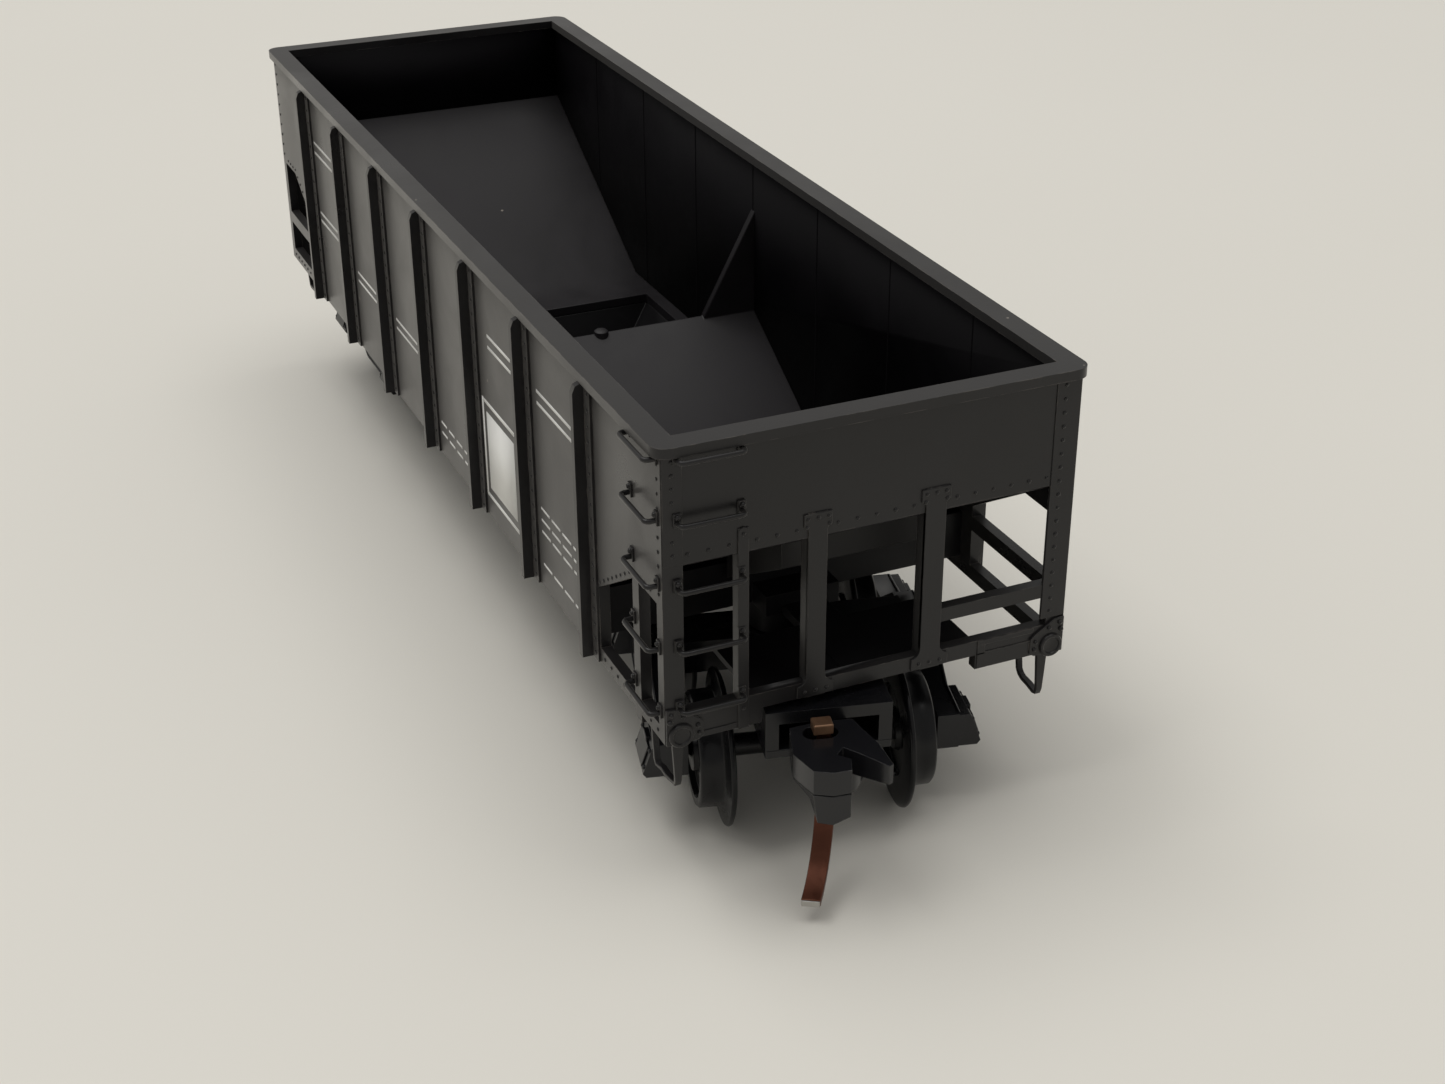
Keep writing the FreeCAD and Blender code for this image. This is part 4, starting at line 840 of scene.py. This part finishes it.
def hold_linings():
    """Thin near-black, dull sheets over the inner faces of the side and end sheets above the floor
    plates: painted shade inside the hold.
    """
    outline = [(-HOLD_END, SLOPE_TOP), (-17.42, 0.77), (-6.9, 0.77), (0, 4.77), (6.9, 0.77),
               (17.42, 0.77), (HOLD_END, SLOPE_TOP), (HOLD_END, CHORD), (-HOLD_END, CHORD)]
    outline = [(x, up(z)) for x, z in outline]
    ends = block(-HOLD_SIDE, HOLD_SIDE, up(SLOPE_TOP), up(CHORD))
    made = []
    for side in (1, -1):
        made.append(prism("lining", outline, *sorted((side * HOLD_SIDE, side * 8.91)), "y"))
        made.append(prism("lining", ends, *sorted((side * HOLD_END, side * 30.87))))
    return made


# The ridges and the inner sheets take the near-black of painted shade.
settled(softened(joined("hold_ridges", hold_ridges()), 0.015, 1), "car_body", HOLD_SHADE_BLACK)
settled(joined("hold_linings", hold_linings()), "car_body", HOLD_SHADE_BLACK)
nub = lathe("ridge_nub", [(-0.2, 0.0), (-0.2, 0.42), (0.12, 0.38), (0.2, 0.28), (0.22, 0.0)],
            (0, 0, up(4.72)), "z", 20)
settled(softened(nub, 0.02, 1), "car_body", HOLD_BLACK)


def printed(outline, side):
    """A printed patch, as thick as its ink, on one side sheet; outline is [(x, z)]."""
    face = side * HALF_WIDTH
    low, high = sorted((face - side * 0.02, face + side * 0.014))
    return prism("patch", [(side * -x, up(z)) for x, z in outline], low, high, "y")


def marking_blocks():
    """Plain generic bars and panels; there is no lettering."""
    blocks = [block(x0, x1, z, z + 0.16) for x0, x1 in ((10.1, 14.2), (17.0, 22.0))
              for z in (9.35, 9.92)]
    blocks += [block(8.9, 13.7, 1.1, 1.3), block(8.9, 13.7, 6.2, 6.4), block(8.7, 8.9, 1.1, 6.4),
               block(13.7, 13.9, 1.1, 6.4), block(9.3, 13.3, 1.7, 5.8)]
    blocks += [block(x, x + 1.1, z, z + 0.12) for z in (1.2, 2.9, 3.5, 4.1)
               for x in (16.9, 18.3, 19.7, 21.1)]
    blocks += [block(x, x + 0.9, z, z + 0.12) for z in (1.2, 1.8) for x in (1.2, 2.5, 3.8, 5.1)]
    blocks += [block(x0, x1, z, z + 0.14) for x0, x1 in ((-6.4, -2.0), (-14.2, -10.2))
               for z in (4.2, 4.7)]
    blocks += [block(-22.3, -18.0, z, z + 0.16) for z in (5.2, 5.7, 9.4, 10.0)]
    return blocks


for side, which in ((-1, "left"), (1, "right")):
    patches = [printed(outline, side) for outline in marking_blocks()]
    settled(joined(f"markings_{which}", patches), "car_body", MARKING_WHITE)


# -------------------------------------------------------------------- couplers
# Corners of the coupler head in the truck's own frame, as {(x, y): (new x, new y, shift)}. The
# shift raises an underside corner of the upper half, and moves one of the lower half sideways.

UPPER_CORNERS = {
    (13.3, -2.25): (12.35, -2.2, 0), (13.75, -1.85): (13.72, -1.62, 0),
    (14.0, -1.1): (13.98, -0.85, 0), (12.4, 0.75): (12.75, 0.42, 0),
    (13.95, 1.55): (13.9, 1.42, 0.22), (13.8, 1.85): (13.78, 1.62, 0.22),
    (12.3, 1.6): (12.2, 1.40, 0.08)}
LOWER_CORNERS = {
    (13.3, -2.25): (12.35, -2.2, 0.75), (13.75, -1.85): (13.72, -1.62, 0.18),
    (14.0, -1.1): (13.98, -0.85, 0.0), (11.9, -2.15): (11.7, -2.1, 0.85),
    (10.45, -1.95): (10.45, -1.9, 0.85), (10.2, -0.75): (10.2, -0.75, 0.2),
    (12.4, 0.75): (12.28, 0.08, 0), (13.95, 1.55): (12.27, 0.28, 0), (13.8, 1.85): (12.1, 0.55, 0),
    (12.3, 1.6): (11.6, 0.85, 0)}
UPPER_MIDDLE = 6.5                  # heights that part a half's top corners from its bottom ones
LOWER_MIDDLE = 5.4
NOSE_DROP = 0.26                    # how much deeper the lower half is at its nose


def cast_head(end, upper):
    """Moves a half's corners to where a softer casting has them."""
    placing = truck_matrix(end)
    back = placing.inverted()
    corners, middle = (UPPER_CORNERS, UPPER_MIDDLE) if upper else (LOWER_CORNERS, LOWER_MIDDLE)

    def moved(point):
        x, y, z = back @ point
        for (old_x, old_y), (new_x, new_y, shift) in corners.items():
            if math.hypot(x - old_x, y - old_y) < 0.03:
                if z < middle:
                    if upper:
                        z += shift
                    else:
                        new_y += shift
                        z -= NOSE_DROP if new_x > 13 else 0
                return placing @ Vector((new_x, new_y, z))
        return point
    return moved


PIN_LEAN = (0.951, 0.309)           # the foot runs forward and to the left along this way
PIN_ACROSS = (0.309, 0.951, 0)
PIN_ROUND = 3.1                     # radius of the foot's bend


def pin_path():
    """The trip pin's middle line with its half width: down through the head, then forward."""
    path = [(11.0, -0.62, 8.02, 0.29), (11.0, -0.62, 7.4, 0.29), (11.0, -0.58, 6.6, 0.30),
            (11.0, -0.53, 5.9, 0.35), (11.0, -0.5, 5.2, 0.38), (11.0, -0.5, 4.7, 0.40),
            (11.0, -0.5, 4.3, 0.41)]
    for i in range(1, 13):
        turn = math.radians(84) * i / 12
        out, late = PIN_ROUND * (1 - math.cos(turn)), (i / 12) ** 2
        path.append((11.0 + out * PIN_LEAN[0], -0.5 - out * PIN_LEAN[1] - 0.28 * late,
                     4.3 - PIN_ROUND * math.sin(turn) - 0.22 * late, 0.41))
    return path


for end in "ab":
    placing = truck_matrix(end)
    eased_copy(f"coupler_upper_{end}", COUPLER_BLACK, 0.05,
               reshape=cast_head(end, True))
    eased_copy(f"coupler_lower_{end}", COUPLER_BLACK, 0.05,
               reshape=cast_head(end, False))
    path = pin_path()
    strip = softened(ribbon(f"trip_pin_strip_{end}", path, 0.38, PIN_ACROSS), 0.05, 3, 50)
    settled(turned(strip, placing), f"knuckle_{end}", COPPER, (f"trip_pin_{end}",))
    last, before = Vector(path[-1][:3]), Vector(path[-2][:3])
    step = (last - before).normalized()
    tip = [(*(last + step * 0.01), 0.40), (*(last + step * 0.07), 0.36)]
    tip = softened(ribbon(f"trip_pin_tip_{end}", tip, 0.36, PIN_ACROSS), 0.02, 1, 50)
    settled(turned(tip, placing), f"knuckle_{end}", TIN)
    head = prism(f"trip_pin_head_{end}", block(10.62, 11.34, -1.12, -0.28), 7.64, 8.12, "z")
    settled(turned(softened(head, 0.07, 3), placing), f"knuckle_{end}", COPPER_CUT)


# ----------------------------------------------------------------- truck details
# In the truck's own frame, from the floor.

AXLE_X = 5.24
RIM_Y = 6.53                        # middle of the side frames' raised rims
UPPER_RIM = ((-6.35, 4.74), (-4.16, 4.86), (-2.0, 6.24), (2.0, 6.24), (4.16, 4.86), (6.35, 4.74))
LOWER_RIM = ((-4.15, 3.04), (-2.46, 2.02), (2.46, 2.02), (4.15, 3.04))
COIL_RADIUS = 0.47
COIL_STEPS = 66
COIL_STEP = 0.5236                  # a twelfth of a turn


def lid_face(side, z):
    """How far out a journal lid's slanted face is at a height."""
    return side * (7.55 - 0.42 * (z - 3.3) / 1.25)


def journal_lid(side, x):
    """A slanted lid and the hinge along its top."""
    corners = [(u, lid_face(side, z), z) for u, z in block(x - 0.85, x + 0.85, 3.42, 4.42)]
    if side > 0:
        corners.reverse()
    knuckle = lid_face(side, 4.5)
    hinge = block(x - 0.4, x + 0.4, knuckle - side * 0.15, knuckle + side * 0.14)
    return [softened(plate("lid", corners, 0.09), 0.04),
            softened(prism("hinge", hinge, 4.38, 4.66, "z"), 0.05)]


def spring_coil(side, way):
    """One of a side frame's two bolster springs."""
    return [(way * 0.55 + COIL_RADIUS * math.cos(COIL_STEP * i),
             side * 6.05 + COIL_RADIUS * math.sin(COIL_STEP * i),
             2.82 + 1.72 * i / COIL_STEPS) for i in range(COIL_STEPS + 1)]


for end in "ab":
    placing, body = truck_matrix(end), f"truck_{end}"
    lids, coils, rims, bolts = [], [], [], []
    for side in (1, -1):
        for way in (1, -1):
            x = way * AXLE_X
            lids += journal_lid(side, x)
            bolts += [((x + step, lid_face(side, z), z), (0, side, 0.3))
                      for step in (-1.05, 1.05) for z in (3.55, 4.35)]
            coils.append(spring_coil(side, way))
        rims += [[(x, side * RIM_Y, z) for x, z in rim] for rim in (UPPER_RIM, LOWER_RIM)]
        bolts += [((x, side * 6.55, z), (0, side, 0)) for x in (-1.6, 1.6) for z in (2.5, 5.0, 5.85)]
        bolts += [((x, side * 6.55, 5.95), (0, side, 0)) for x in (-0.8, 0.0, 0.8)]
    settled(turned(joined(f"journal_lids_{end}", lids), placing), body, TRUCK_BLACK)
    swept(f"spring_coils_{end}", coils, 0.075, 0.0, 8, placing, body, TRUCK_BLACK)
    swept(f"frame_rims_{end}", rims, 0.085, 0.15, 8, placing, body, TRUCK_BLACK)
    rivets(f"truck_bolts_{end}", carried(bolts, placing), 0.13, 0.1, body, TRUCK_BLACK)
